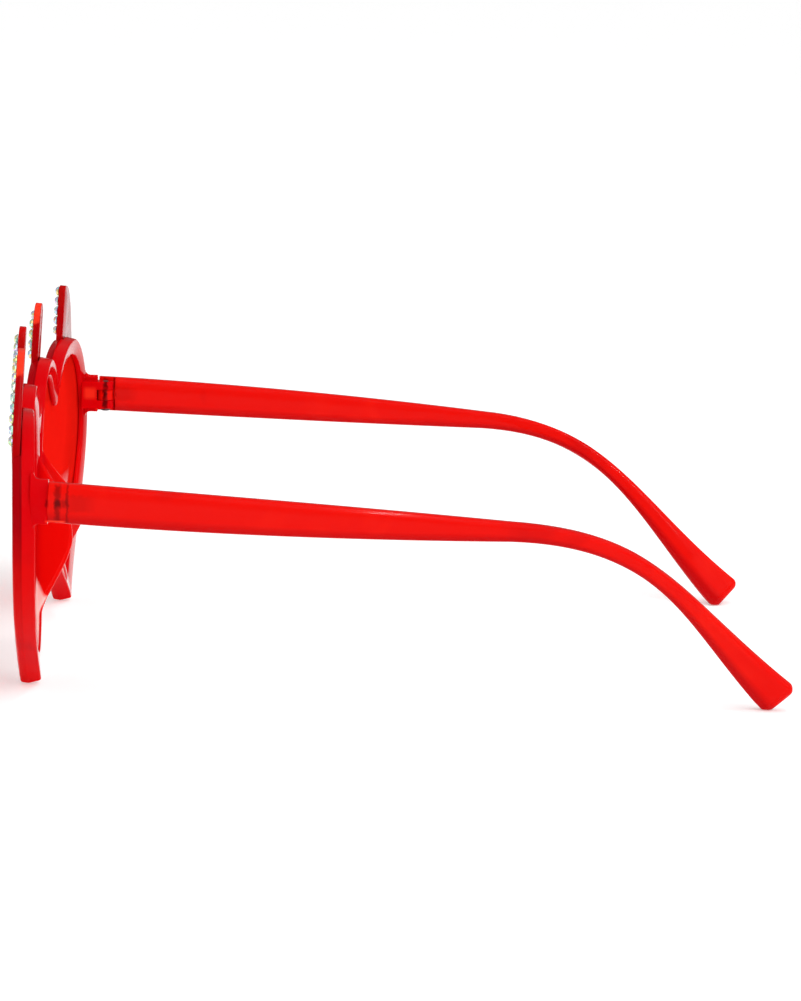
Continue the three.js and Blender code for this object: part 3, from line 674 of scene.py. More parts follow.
def pad_reach(height):
    """How far a nose pad, or the tail below it, stands out at a height, from its sunk root."""
    front = bpy.context.scene.party_front
    run = front.pad_fall if height < front.pad_height else front.pad_rise
    away = min(max((height - front.pad_height) / run, -1), 1)
    full = front.pad_reach + front.pad_sink
    reach = full * abs(math.cos(away * math.pi / 2)) ** front.pad_fullness
    if height < front.pad_height:
        foot = front.pad_height - front.pad_fall
        begun = min(1, (height - front.tail_end) / (foot - front.tail_end))
        reach = math.hypot(reach, (front.tail_reach + front.pad_sink) * begun ** front.tail_rise)
    return reach


def nose_pad():
    """A fin along the inner flank of the left heart, highest at the side of the nose, with a low
    tail down the flank."""
    h, front = bpy.context.scene.party_hearts, bpy.context.scene.party_front
    half = front.pad_thickness / 2
    root = h.rim_depth - front.pad_sink - half
    foot = front.pad_height - front.pad_fall
    heights = [mix(front.tail_end, foot, step / TAIL_STEPS) for step in range(TAIL_STEPS)]
    for step in range(-PAD_STEPS, PAD_STEPS + 1):
        run = front.pad_fall if step < 0 else front.pad_rise
        heights.append(front.pad_height + step / PAD_STEPS * run)
    loops = []
    for height in heights:
        number = INNER_FLANK if height < h.shoulder else INNER_LOBE[0]
        reach = pad_reach(height)
        share = share_where(heart_curves(0)[number], lambda point: point.y >= height)
        crown = h.rim_depth - front.pad_sink + reach
        lean = half + front.pad_sink + reach * math.tan(front.pad_splay)
        section = [(front.pad_sink, root)]
        for step in range(PAD_CROWN_STEPS + 1):
            angle = math.pi * step / PAD_CROWN_STEPS
            across = lean - front.pad_crown * half * math.cos(angle)
            section.append((across, crown - half * (1 - math.sin(angle) ** front.pad_roundness)))
        section.append((front.pad_sink + front.pad_thickness, root))
        places = [(along(heart_curves(inset)[number], share), depth) for inset, depth in section]
        loops.append([Vector((place.x, depth, place.y)) for place, depth in places])
    return drawn("nose_pad", loops)


def bridge():
    """The bar between the hearts, flared towards both."""
    h, front = bpy.context.scene.party_hearts, bpy.context.scene.party_front
    low_reach, top_reach = h.gap / 2 + front.bridge_root, h.gap / 2 + front.bridge_top_root
    middle = Vector((0, h.rim_depth / 2, front.bridge_height))
    half = front.bridge_depth / 2
    loops = []
    for step in range(-BRIDGE_STEPS, BRIDGE_STEPS + 1):
        side = step / BRIDGE_STEPS
        high = front.bridge_thickness / 2 + front.bridge_flare * side ** 2
        loops.append([
            middle + Vector((side * mix(low_reach, top_reach, z / high / 2 + 0.5), y, z))
            for y, z in oblong(half, half, high, front.bridge_edge)
        ])
    return drawn("bridge", loops)


def barrel(radius, low, high, name="barrel"):
    """A round post about the left hinge pin, between two heights."""
    pin = hinge_pin()
    bpy.ops.object.select_all(action="DESELECT")
    bpy.ops.mesh.primitive_cylinder_add(
        vertices=PIN_SIDES, radius=radius, depth=high - low,
        location=(pin.x, pin.y, pin.z + (low + high) / 2),
    )
    return settle(bpy.context.object, name)


def block(low, high):
    """A block about the left hinge pin."""
    pin = hinge_pin()
    bpy.ops.object.select_all(action="DESELECT")
    bpy.ops.mesh.primitive_cube_add(size=1, location=pin + (Vector(low) + Vector(high)) / 2)
    obj = bpy.context.object
    obj.scale = Vector(high) - Vector(low)
    return settle(obj)


def stack_top():
    """Top of the knuckle stack over the middle of the hinge."""
    hinge = bpy.context.scene.party_hinge
    return hinge.knuckle_height * 1.5 + hinge.fit


def end_piece():
    """The left end piece behind the rim, with the two outer knuckles."""
    front, hinge = bpy.context.scene.party_front, bpy.context.scene.party_hinge
    pin = hinge_pin()
    end = -hinge.pin_setback - front.butt_gap
    rim_back = -hinge.pin_setback - hinge.fit - front.lug_reach
    root = rim_back - front.lug_root
    middle = hinge.pin_inset - front.lug_thickness / 2
    half = front.lug_height / 2
    stations = [(root, half + front.lug_fillet, 0)]
    for step in range(FILLET_STEPS + 1):
        angle = step / FILLET_STEPS * math.pi / 2
        flare = front.lug_fillet * (1 - math.sin(angle))
        stations.append((rim_back + front.lug_fillet * (1 - math.cos(angle)), half + flare, 0))
    soft = front.lug_edge / 4
    stations += [(end - soft, half, 0), (end - soft / 3, half, soft / 3), (end, half, soft)]
    loops = []
    for depth, high, less in stations:
        tuck = front.lug_tuck * (1 - math.sin(math.pi / 2 * (depth - root) / (end - root)))
        reach = front.lug_thickness / 2 - less
        section = oblong(reach, reach - tuck, high - less, front.lug_edge)
        loops.append([pin + Vector((middle + x, depth, z)) for x, z in section])
    lug = drawn("end_piece", loops)
    radius, top = hinge.knuckle_radius, stack_top()
    joint = hinge.pin_inset - front.lug_thickness + hinge.pin_fit + hinge.knuckle_root
    pieces = [block((-radius, root, -top), (joint, end, top))]
    pitch = hinge.knuckle_height + hinge.fit
    for height in (-pitch, pitch):
        low, high = height - hinge.knuckle_height / 2, height + hinge.knuckle_height / 2
        pieces.append(barrel(radius, low, high))
        pieces.append(block((-radius, end - hinge.pin_fit, low), (radius, 0, high)))
    combined(lug, pieces, "UNION")
    bore = barrel(hinge.pin_radius + hinge.pin_fit, -top - SPARE, top + SPARE)
    combined(lug, [bore], "DIFFERENCE")
    outline = [Vector((x, y + front_face(), z)) for x, y, z in heart_loop(0, 0)]
    behind = [point + Vector((0, 0.03, 0)) for point in outline]
    return combined(lug, [drawn("heart_limit", [outline, behind])], "INTERSECT")


# Surfaces

class Recipe:
    """A node tree that is filled in step by step."""

    def __init__(self, tree):
        self.tree = tree

    def node(self, kind, values=None, **settings):
        """Add a node, set it, and set or link its inputs."""
        made = self.tree.nodes.new(kind)
        for key, value in settings.items():
            setattr(made, key, value)
        for key, value in (values or {}).items():
            if isinstance(value, bpy.types.NodeSocket):
                self.tree.links.new(value, made.inputs[key])
            else:
                made.inputs[key].default_value = value
        return made

    def place(self):
        """Object coordinates."""
        return self.node("ShaderNodeTexCoord").outputs["Object"]

    def axes(self, vector):
        """The three coordinates of a vector."""
        return self.node("ShaderNodeSeparateXYZ", {"Vector": vector}).outputs

    def kept(self, name):
        """A value that the mesh keeps under a name."""
        return self.node("ShaderNodeAttribute", attribute_name=name).outputs["Fac"]

    def noise(self, vector, scale, detail, distortion=0.0):
        """The outputs of a noise."""
        values = {"Vector": vector, "Scale": scale, "Detail": detail, "Distortion": distortion}
        return self.node("ShaderNodeTexNoise", values).outputs

    def stretched(self, vector, scale, rotation=(0, 0, 0)):
        """Coordinates drawn out along their axes."""
        values = {"Vector": vector, "Scale": scale, "Rotation": rotation}
        return self.node("ShaderNodeMapping", values).outputs[0]

    def ramp(self, value, start, end, low=0.0, high=1.0):
        """A value carried from one range to another and held at the ends."""
        values = {"Value": value, 1: start, 2: end, 3: low, 4: high}
        return self.node("ShaderNodeMapRange", values).outputs[0]

    def maths(self, operation, *values, clamp=False):
        """One step of arithmetic."""
        given = dict(enumerate(values))
        made = self.node("ShaderNodeMath", given, operation=operation, use_clamp=clamp)
        return made.outputs[0]

    def vectors(self, operation, *values):
        """One step of arithmetic with vectors."""
        given = dict(enumerate(values))
        return self.node("ShaderNodeVectorMath", given, operation=operation).outputs[0]

    def times(self, product, *factors):
        """The product of masks and strengths."""
        for factor in factors:
            product = self.maths("MULTIPLY", product, factor)
        return product

    def band(self, value, middle, half, soft):
        """A mask that is full within a distance of a middle value and fades over a soft edge."""
        away = self.maths("ABSOLUTE", self.maths("SUBTRACT", value, middle))
        return self.ramp(away, half, half + soft, 1.0, 0.0)

    def blend(self, mask, below, above):
        """One colour laid over another by a mask."""
        values = {"Factor": mask, 6: below, 7: above}
        return self.node("ShaderNodeMix", values, data_type="RGBA").outputs[2]

    def bump(self, height, strength, distance):
        """The normal of a fine relief."""
        values = {"Height": height, "Strength": strength, "Distance": distance}
        return self.node("ShaderNodeBump", values).outputs[0]

    def shade(self, values):
        """The shader of a material, and its output."""
        shader = self.node("ShaderNodeBsdfPrincipled", values)
        self.node("ShaderNodeOutputMaterial", {"Surface": shader.outputs[0]})


def fresh_group(name, inputs, outputs):
    """An empty node group with named sockets, and its recipe."""
    tree = bpy.data.node_groups.new(name, "ShaderNodeTree")
    for way, labels in (("INPUT", inputs), ("OUTPUT", outputs)):
        for label, kind in labels.items():
            tree.interface.new_socket(label, in_out=way, socket_type=f"NodeSocket{kind}")
    return tree, Recipe(tree)


def moulded_group():
    """Node group for moulded plastic: flow in the colour, fine relief, and wear in the gloss."""
    name = "Moulded plastic"
    if name in bpy.data.node_groups:
        return bpy.data.node_groups[name]
    tree, make = fresh_group(
        name,
        {
            "Body": "Color", "Deep": "Color", "Glow": "Color",
            "Flow Scale": "Float", "Gloss": "Float", "Wear": "Float",
        },
        {"Tint": "Color", "Roughness": "Float", "Relief": "Float"},
    )
    given = make.node("NodeGroupInput").outputs
    place = make.place()
    flow = make.noise(place, given["Flow Scale"], 3.0, 0.6)["Fac"]
    dark = make.ramp(flow, 0.42, 0.25, 0.0, 0.7)
    light = make.ramp(flow, 0.55, 0.78, 0.0, 0.6)
    tint = make.blend(light, make.blend(dark, given["Body"], given["Deep"]), given["Glow"])
    scratches = make.stretched(place, (700, 90, 2600), (0.2, 0.1, 0.35))
    lines = make.noise(scratches, 1.0, 2.0)["Fac"]
    rubbed = make.ramp(lines, 0.58, 0.72, 0.0, given["Wear"])
    hazy = make.ramp(make.noise(place, 210.0, 4.0)["Fac"], 0.35, 0.75, 0.0, 0.09)
    gloss = make.maths("ADD", given["Gloss"], rubbed)
    peel = make.noise(place, 900.0, 2.0)["Fac"]
    make.node("NodeGroupOutput", {
        "Tint": tint,
        "Roughness": make.maths("ADD", gloss, hazy, clamp=True),
        "Relief": make.maths("MULTIPLY_ADD", lines, 0.12, peel),
    })
    return tree


def fresh_material(name):
    """An empty node material and its recipe."""
    material = bpy.data.materials.new(name)
    material.use_nodes = True
    material.node_tree.nodes.clear()
    return material, Recipe(material.node_tree)


# What shows through the plastic at a hinge. Each spot has its distance behind the pin, half its
# length and its soft edge, its rise over the middle of the hinge, half its height and its soft
# edge, its strength, and the side of the temple that it shows on. The shadows are the pocket's
# far wall, the pin twice, the end of the pocket, two knuckle gaps, and the inner pin in three
# pieces. The lights are the pocket's lower edge and the end piece.
HINGE_SHADOWS = (
    (0.0038, 0.0010, 0.0024, 0.0, 0.0012, 0.0006, 0.16, "outer"),
    (0.0, 0.0002, 0.0005, 0.0, 0.0030, 0.0006, 0.55, "both"),
    (0.0, 0.0003, 0.0004, 0.0, 0.0005, 0.0006, 0.75, "both"),
    (0.00178, 0.0001, 0.0002, 0.0, 0.0034, 0.0006, 0.45, "outer"),
    (0.0014, 0.0005, 0.0005, 0.0, 0.0004, 0.0006, 0.38, "outer"),
    (-0.00195, 0.0002, 0.0003, 0.0, 0.0004, 0.0006, 0.5, "outer"),
    (0.0, 0.0003, 0.0003, 0.0026, 0.0004, 0.0006, 0.75, "inner"),
    (0.0, 0.0003, 0.0003, 0.0005, 0.0004, 0.0006, 0.7, "inner"),
    (0.0, 0.0003, 0.0003, -0.0018, 0.0004, 0.0006, 0.75, "inner"),
)
HINGE_LIGHTS = (
    (-0.0004, 0.0014, 0.0006, -0.00342, 0.0001, 0.0002, 0.7, "both"),
    (-0.0033, 0.0008, 0.0008, 0.0004, 0.0007, 0.0009, 0.5, "inner"),
)
HINGE_WAVES = (0.0, 0.001, 0.0014)
INNER_FACE = 0.0009
INNER_FADE = 0.0004


def hinge_group():
    """Node group for what shows through the plastic at the hinges: the pin, the end of the pocket
    and the knuckles' gaps as wavy shadows, a glint along the pocket's lower edge and light through
    the end piece."""
    name = "Hinge shadow"
    if name in bpy.data.node_groups:
        return bpy.data.node_groups[name]
    colours = {"Tint": "Color", "Shadow": "Color", "Glint": "Color"}
    tree, make = fresh_group(name, colours, {"Tint": "Color"})
    given = make.node("NodeGroupInput").outputs
    place = make.place()
    waves = make.vectors("SUBTRACT", make.noise(place, 900.0, 2.0)["Color"], (0.5, 0.5, 0.5))
    wavy = make.axes(make.vectors("MULTIPLY_ADD", waves, HINGE_WAVES, place))
    pin = hinge_pin()
    inner = make.band(wavy["X"], 0.0, pin.x - INNER_FACE, INNER_FADE)
    sides = {"inner": inner, "outer": make.maths("SUBTRACT", 1.0, inner), "both": 1.0}
    tint = given["Tint"]
    plain = make.axes(place)
    for spots, axes, colour in ((HINGE_SHADOWS, wavy, "Shadow"), (HINGE_LIGHTS, plain, "Glint")):
        for back, half, soft, rise, high, fade, strength, side in spots:
            lengthwise = make.band(axes["Y"], pin.y + back, half, soft)
            upright = make.band(axes["Z"], pin.z + rise, high, fade)
            mask = make.times(lengthwise, upright, sides[side], strength)
            tint = make.blend(mask, tint, given[colour])
    make.node("NodeGroupOutput", {"Tint": tint})
    return tree


def plastic(name, colours, flow, sheen, tone=None, low_sheen=None, **shader_values):
    """A moulded plastic, from the shared group, its three colours and its own flow. A tone may
    shade its colour. The sheen gives two shares of turning away from the eye and the weight of the
    coat at each. A low sheen adds to it lower down: the heights where that begins and is full, and
    two more such shares."""
    if name in bpy.data.materials:
        return bpy.data.materials[name]
    material, make = fresh_material(name)
    values = {**dict(zip(("Body", "Deep", "Glow"), colours)), **flow}
    group = make.node("ShaderNodeGroup", values, node_tree=moulded_group()).outputs
    tint = tone(make, group["Tint"]) if tone else group["Tint"]
    facing = make.node("ShaderNodeLayerWeight", {"Blend": 0.5}).outputs["Facing"]
    coat = make.ramp(facing, *sheen)
    if low_sheen:
        heights, turned = low_sheen
        low = make.ramp(make.axes(make.place())["Z"], *heights)
        added = make.times(low, make.ramp(facing, *turned))
        coat = make.maths("ADD", coat, added, clamp=True)
    make.shade({
        "Base Color": tint,
        # Painted glow: the plastic gives off its own colour weakly, by the emission strength in
        # RED_BODY
        "Emission Color": tint,
        "Roughness": group["Roughness"],
        "Coat Weight": coat,
        "Normal": make.bump(group["Relief"], 0.1, 0.0002),
        **shader_values,
    })
    return material


# Flow of the plastics, and their sheen
BODY_FLOW = {"Gloss": 0.1, "Wear": 0.08, "Flow Scale": 55.0}
CREST_FLOW = {"Gloss": 0.12, "Wear": 0.1, "Flow Scale": 90.0}
LENS_FLOW = {"Gloss": 0.04, "Wear": 0.03, "Flow Scale": 40.0}
EDGE_SHEEN = (0.62, 0.85, 0.0, 0.4)
TEMPLE_SHEEN = (0.62, 0.85, 0.09, 0.45)
LENS_SHEEN = (0.4, 0.72, 0.8, 0.0)
LOW_RIM_SHEEN = ((0.016, 0.012), (0.62, 0.72))
LOW_LENS_SHEEN = ((0.026, 0.02), (0.74, 0.84))
RED_BODY = {
    "IOR": 1.08,
    "Coat Roughness": 0.06,
    "Subsurface Weight": 0.3,
    "Subsurface Radius": (1.0, 0.06, 0.04),
    "Subsurface Scale": 0.002,
    # Painted glow in the red plastics, standing in for light that passes through them
    "Emission Strength": 0.06,
}
LENS_BODY = {
    "IOR": 1.0,
    "Specular IOR Level": 0.0,
    "Transmission Weight": 0.35,
    "Coat Roughness": 0.03,
}

# Where painted shade, light and reflection fall on the front: heights over the table, depths
# behind its face, and bands as a middle, half a width and a soft edge
FULL_LAYER_HEIGHTS = (0.008, 0.03)
SHADED_LAYER_BAND = (0.0, 0.0015, 0.0003)
SHADED_SEAM_BAND = (0.0015, 0.0001, 0.0002)
LIT_BAND = (0.022, 0.005, 0.009)
PAD_DEPTHS = (0.0043, 0.0052)
PAD_BAND = (0.0, 0.03, 0.004)
REFLECTION_BELOW_CREST = (0.0004, 0.0006)
REFLECTION_HEIGHTS = (0.0138, 0.0132)
REFLECTION_SLOPE = -0.65

# Where painted shade falls on the temples: levels from their lower to their upper edge, and places
# along them
SHADED_LOW_LEVELS = (-0.4, -0.85)
SHADED_EAR_LEVELS = (-0.15, -0.6)
EAR_PLACES = (-0.005, 0.03)

# Heights at which the tips of the crests catch light, and the height of their uneven edge
TIP_BAND = (0.0672, 0.0028, 0.001)
TIP_UNEVEN = 0.004


def hinge_tone(make, tint):
    """Painted shadows and glints where the hinge shows through the plastic."""
    paints = bpy.context.scene.party_finishes
    values = {"Tint": tint, "Shadow": paints.shadow, "Glint": paints.glint}
    return make.node("ShaderNodeGroup", values, node_tree=hinge_group()).outputs["Tint"]


def front_tone(make, tint):
    """Painted shade on the foremost layer and a painted shadow in the seam behind it, painted light
    on the thin nose pads and in a band at their height, and a pale painted reflection on the pads'
    feet, below their crest."""
    paints = bpy.context.scene.party_finishes
    depth = make.kept("front_depth")
    axes = make.axes(make.place())
    upper = make.ramp(axes["Z"], *FULL_LAYER_HEIGHTS)
    # Painted shade: the foremost layer darker, less so lower down, and a painted shadow in the seam
    # behind it
    tint = make.blend(make.times(make.band(depth, *SHADED_LAYER_BAND), upper), tint, paints.rim_deep_and_shade)
    tint = make.blend(make.times(make.band(depth, *SHADED_SEAM_BAND), 0.3, upper), tint, paints.shadow)
    # Painted light: the thin nose pads, and a band across the front at their height, lit brighter
    # in the temples' red
    pads = make.times(make.ramp(depth, *PAD_DEPTHS, 0.0, 0.6), make.band(axes["X"], *PAD_BAND))
    lit_band = make.times(make.band(axes["Z"], *LIT_BAND), 0.4)
    tint = make.blend(pads, make.blend(lit_band, tint, paints.plastic), paints.plastic)
    # Painted reflection: a pale sheen on the lens side of each pad's foot, below its crest
    side = make.kept("pad_side")
    foot = make.ramp(make.maths("MULTIPLY_ADD", side, REFLECTION_SLOPE, axes["Z"]), *REFLECTION_HEIGHTS)
    reflection = make.times(make.ramp(side, *REFLECTION_BELOW_CREST, 0.0, 0.9), foot)
    return hinge_tone(make, make.blend(reflection, tint, paints.pad_reflection))


def temple_tone(make, tint):
    """Painted shade on the lower edge, most so on the ear piece, and the hinge's painted shadows.
    """
    deep = bpy.context.scene.party_finishes.plastic_deep_and_shade
    level = make.kept("level")
    # Painted shade: the lower edge darker, and more so on the ear piece
    tint = make.blend(make.ramp(level, *SHADED_LOW_LEVELS, 0.0, 0.85), tint, deep)
    ear = make.ramp(make.axes(make.place())["Y"], *EAR_PLACES, 0.0, 0.8)
    shaded_ear = make.times(ear, make.ramp(level, *SHADED_EAR_LEVELS))
    return hinge_tone(make, make.blend(shaded_ear, tint, deep))


def crest_tone(make, tint):
    """Light caught near the tips of the crests."""
    place = make.place()
    uneven = make.noise(place, 420.0, 2.0)["Fac"]
    raised = make.maths("MULTIPLY_ADD", uneven, TIP_UNEVEN, make.axes(place)["Z"])
    caught = make.times(make.band(raised, *TIP_BAND), make.kept("tip_light"))
    return make.blend(caught, tint, bpy.context.scene.party_finishes.glint)


def front_plastic():
    """Glossy red plastic of the front, its body red painted darker than the temples' as shade."""
    paints = bpy.context.scene.party_finishes
    return plastic(
        "red_front_plastic", (paints.rim, paints.rim_deep_and_shade, paints.plastic), BODY_FLOW, EDGE_SHEEN,
        front_tone, LOW_RIM_SHEEN, **RED_BODY,
    )


def temple_plastic():
    """Glossy red plastic of the temples, with brighter patches in its flow and a faint painted
    glow.
    """
    paints = bpy.context.scene.party_finishes
    return plastic(
        "red_temple_plastic", (paints.plastic, paints.plastic_deep_and_shade, paints.plastic_glow),
        BODY_FLOW, TEMPLE_SHEEN, temple_tone, **RED_BODY,
    )


def crest_plastic():
    """Glossy red plastic of the crest plates, its body red painted deeper still as shade."""
    paints = bpy.context.scene.party_finishes
    return plastic(
        "red_crest_plastic", (paints.crest, paints.rim_deep_and_shade, paints.rim), CREST_FLOW, EDGE_SHEEN,
        crest_tone, **RED_BODY,
    )


def red_lens():
    """Clear red tinted sheet, glossy where it is looked at squarely, and along its lower part also
    where it is looked at sideways."""
    paints = bpy.context.scene.party_finishes
    return plastic(
        "red_tinted_lens", (paints.lens, paints.lens_deep, paints.lens), LENS_FLOW, LENS_SHEEN,
        low_sheen=LOW_LENS_SHEEN, **LENS_BODY,
    )


def pin_steel():
    """Dark drawn steel, brighter where it is rubbed."""
    name = "pin_steel_drawn"
    if name in bpy.data.materials:
        return bpy.data.materials[name]
    paints = bpy.context.scene.party_finishes
    material, make = fresh_material(name)
    lines = make.noise(make.stretched(make.place(), (9000, 9000, 500)), 1.0, 3.0)["Fac"]
    make.shade({
        "Base Color": make.blend(lines, paints.pin, paints.pin_worn),
        "Roughness": make.ramp(lines, 0.0, 1.0, 0.22, 0.5),
        "Metallic": 1.0,
        "Normal": make.bump(lines, 0.15, 0.0001),
    })
    return material


# Tints of the stones' film, and the share of the film's range at which each begins
STONE_TINTS = (
    (0.00, (0.50, 0.84, 0.64)),
    (0.16, (0.78, 0.88, 0.36)),
    (0.32, (0.94, 0.68, 0.28)),
    (0.48, (0.70, 0.56, 0.88)),
    (0.64, (0.52, 0.76, 0.92)),
    (0.80, (0.88, 0.94, 0.85)),
    (0.92, (0.30, 0.55, 0.42)),
)


def stone_glass():
    """Foiled glass with a film of shifting colour, which differs from facet to facet."""
    name = "cut_stone"
    if name in bpy.data.materials:
        return bpy.data.materials[name]
    material, make = fresh_material(name)
    film = make.node("ShaderNodeValToRGB", {"Fac": make.kept("facet_tint")})
    stops = film.color_ramp.elements
    film.color_ramp.interpolation = "CONSTANT"
    for number, (where, tint) in enumerate(STONE_TINTS):
        stop = stops[number] if number < 2 else stops.new(where)
        stop.position = where
        stop.color = (*tint, 1)
    haze = make.noise(make.place(), 1400.0, 2.0)["Fac"]
    make.shade({
        "Base Color": film.outputs[0],
        "Roughness": make.ramp(haze, 0.0, 1.0, 0.03, 0.12),
        "Metallic": 0.8,
        "IOR": 1.5,
        "Coat Weight": 0.2,
        "Coat Roughness": 0.03,
    })
    return material


# Pieces

class GLASSES_OT_front(bpy.types.Operator):
    """Model the moulded front: rims, bridge, nose pads and end pieces"""

    bl_idname = "glasses.front"
    bl_label = "Moulded Front"

    def execute(self, context):
        crest = context.scene.party_crest
        rebates = [
            crest_rebate(OUTER_LOBE, (crest.tab, crest.sweep), crest.fin_turn),
            crest_rebate(INNER_LOBE, (crest.tab, crest.tab), 0),
        ]
        rim = combined(rim_ring(), rebates, "DIFFERENCE")
        combined(rim, [nose_pad()], "UNION")
        applied(rim, "MIRROR", use_axis=(True, False, False), use_mirror_merge=False)
        combined(rim, [bridge()], "UNION")
        bent(rim)
        hinge = end_piece()
        combined(rim, [reflected(hinge, "other_end_piece"), hinge], "UNION")
        smooth(stood(rim))
        depth_at = front_depth()
        mark(rim, "front_depth", depth_at)
        mark(rim, "pad_side", self.pad_side(context.scene, depth_at))
        dress(rim, "front", "red_plastic", front_plastic(), "frame_front")
        return {"FINISHED"}

    def pad_side(self, scene, depth_at):
        """A measure of how far a place on the lens side of a nose pad lies below its crest."""
        h, front = scene.party_hearts, scene.party_front
        curve = heart_curves(0)[INNER_FLANK]
        steps = range(CURVE_SAMPLES + 1)
        flank = np.array([along(curve, step / CURVE_SAMPLES) for step in steps])
        inside = front.pad_sink + front.pad_thickness / 2

        def measure(place):
            apart = np.hypot(*(flank - (abs(place.x), place.z)).T)
            height, depth = flank[apart.argmin()][1], depth_at(place)
            on_pad = front.tail_end < height < front.pad_height
            on_lens_side = inside < apart.min() < h.rim_width
            if not on_pad or not on_lens_side or depth < h.rim_depth - h.back_fall:
                return 0
            return max(0, h.rim_depth - front.pad_sink + pad_reach(height) - depth)

        return measure


class GLASSES_OT_lenses(bpy.types.Operator):
    """Model the two tinted lenses in their grooves"""

    bl_idname = "glasses.lenses"
    bl_label = "Lenses"

    # Rings of the lens, as shares from its middle to its edge
    RINGS = (0.04, 0.2, 0.4, 0.6, 0.8, 0.92, 1)

    def execute(self, context):
        h, front = context.scene.party_hearts, context.scene.party_front
        edge = heart_loop(h.rim_width - front.lens_hold, 0)
        middle = Vector((h.gap / 2 + h.half_width, 0, h.shoulder))
        back = (front.lens_setback + front.lens_thickness, self.RINGS)
        ahead = (front.lens_setback, reversed(self.RINGS))
        left = bent(drawn("lens_left", [
            [middle.lerp(point, share) + Vector((0, depth, 0)) for point in edge]
            for depth, shares in (back, ahead) for share in shares
        ]))
        for lens, side in zip((left, reflected(left, "lens_right")), SIDES):
            smooth(lens)
            dress(lens, "front", "red_lens", red_lens(), f"{side}_lens")
        return {"FINISHED"}


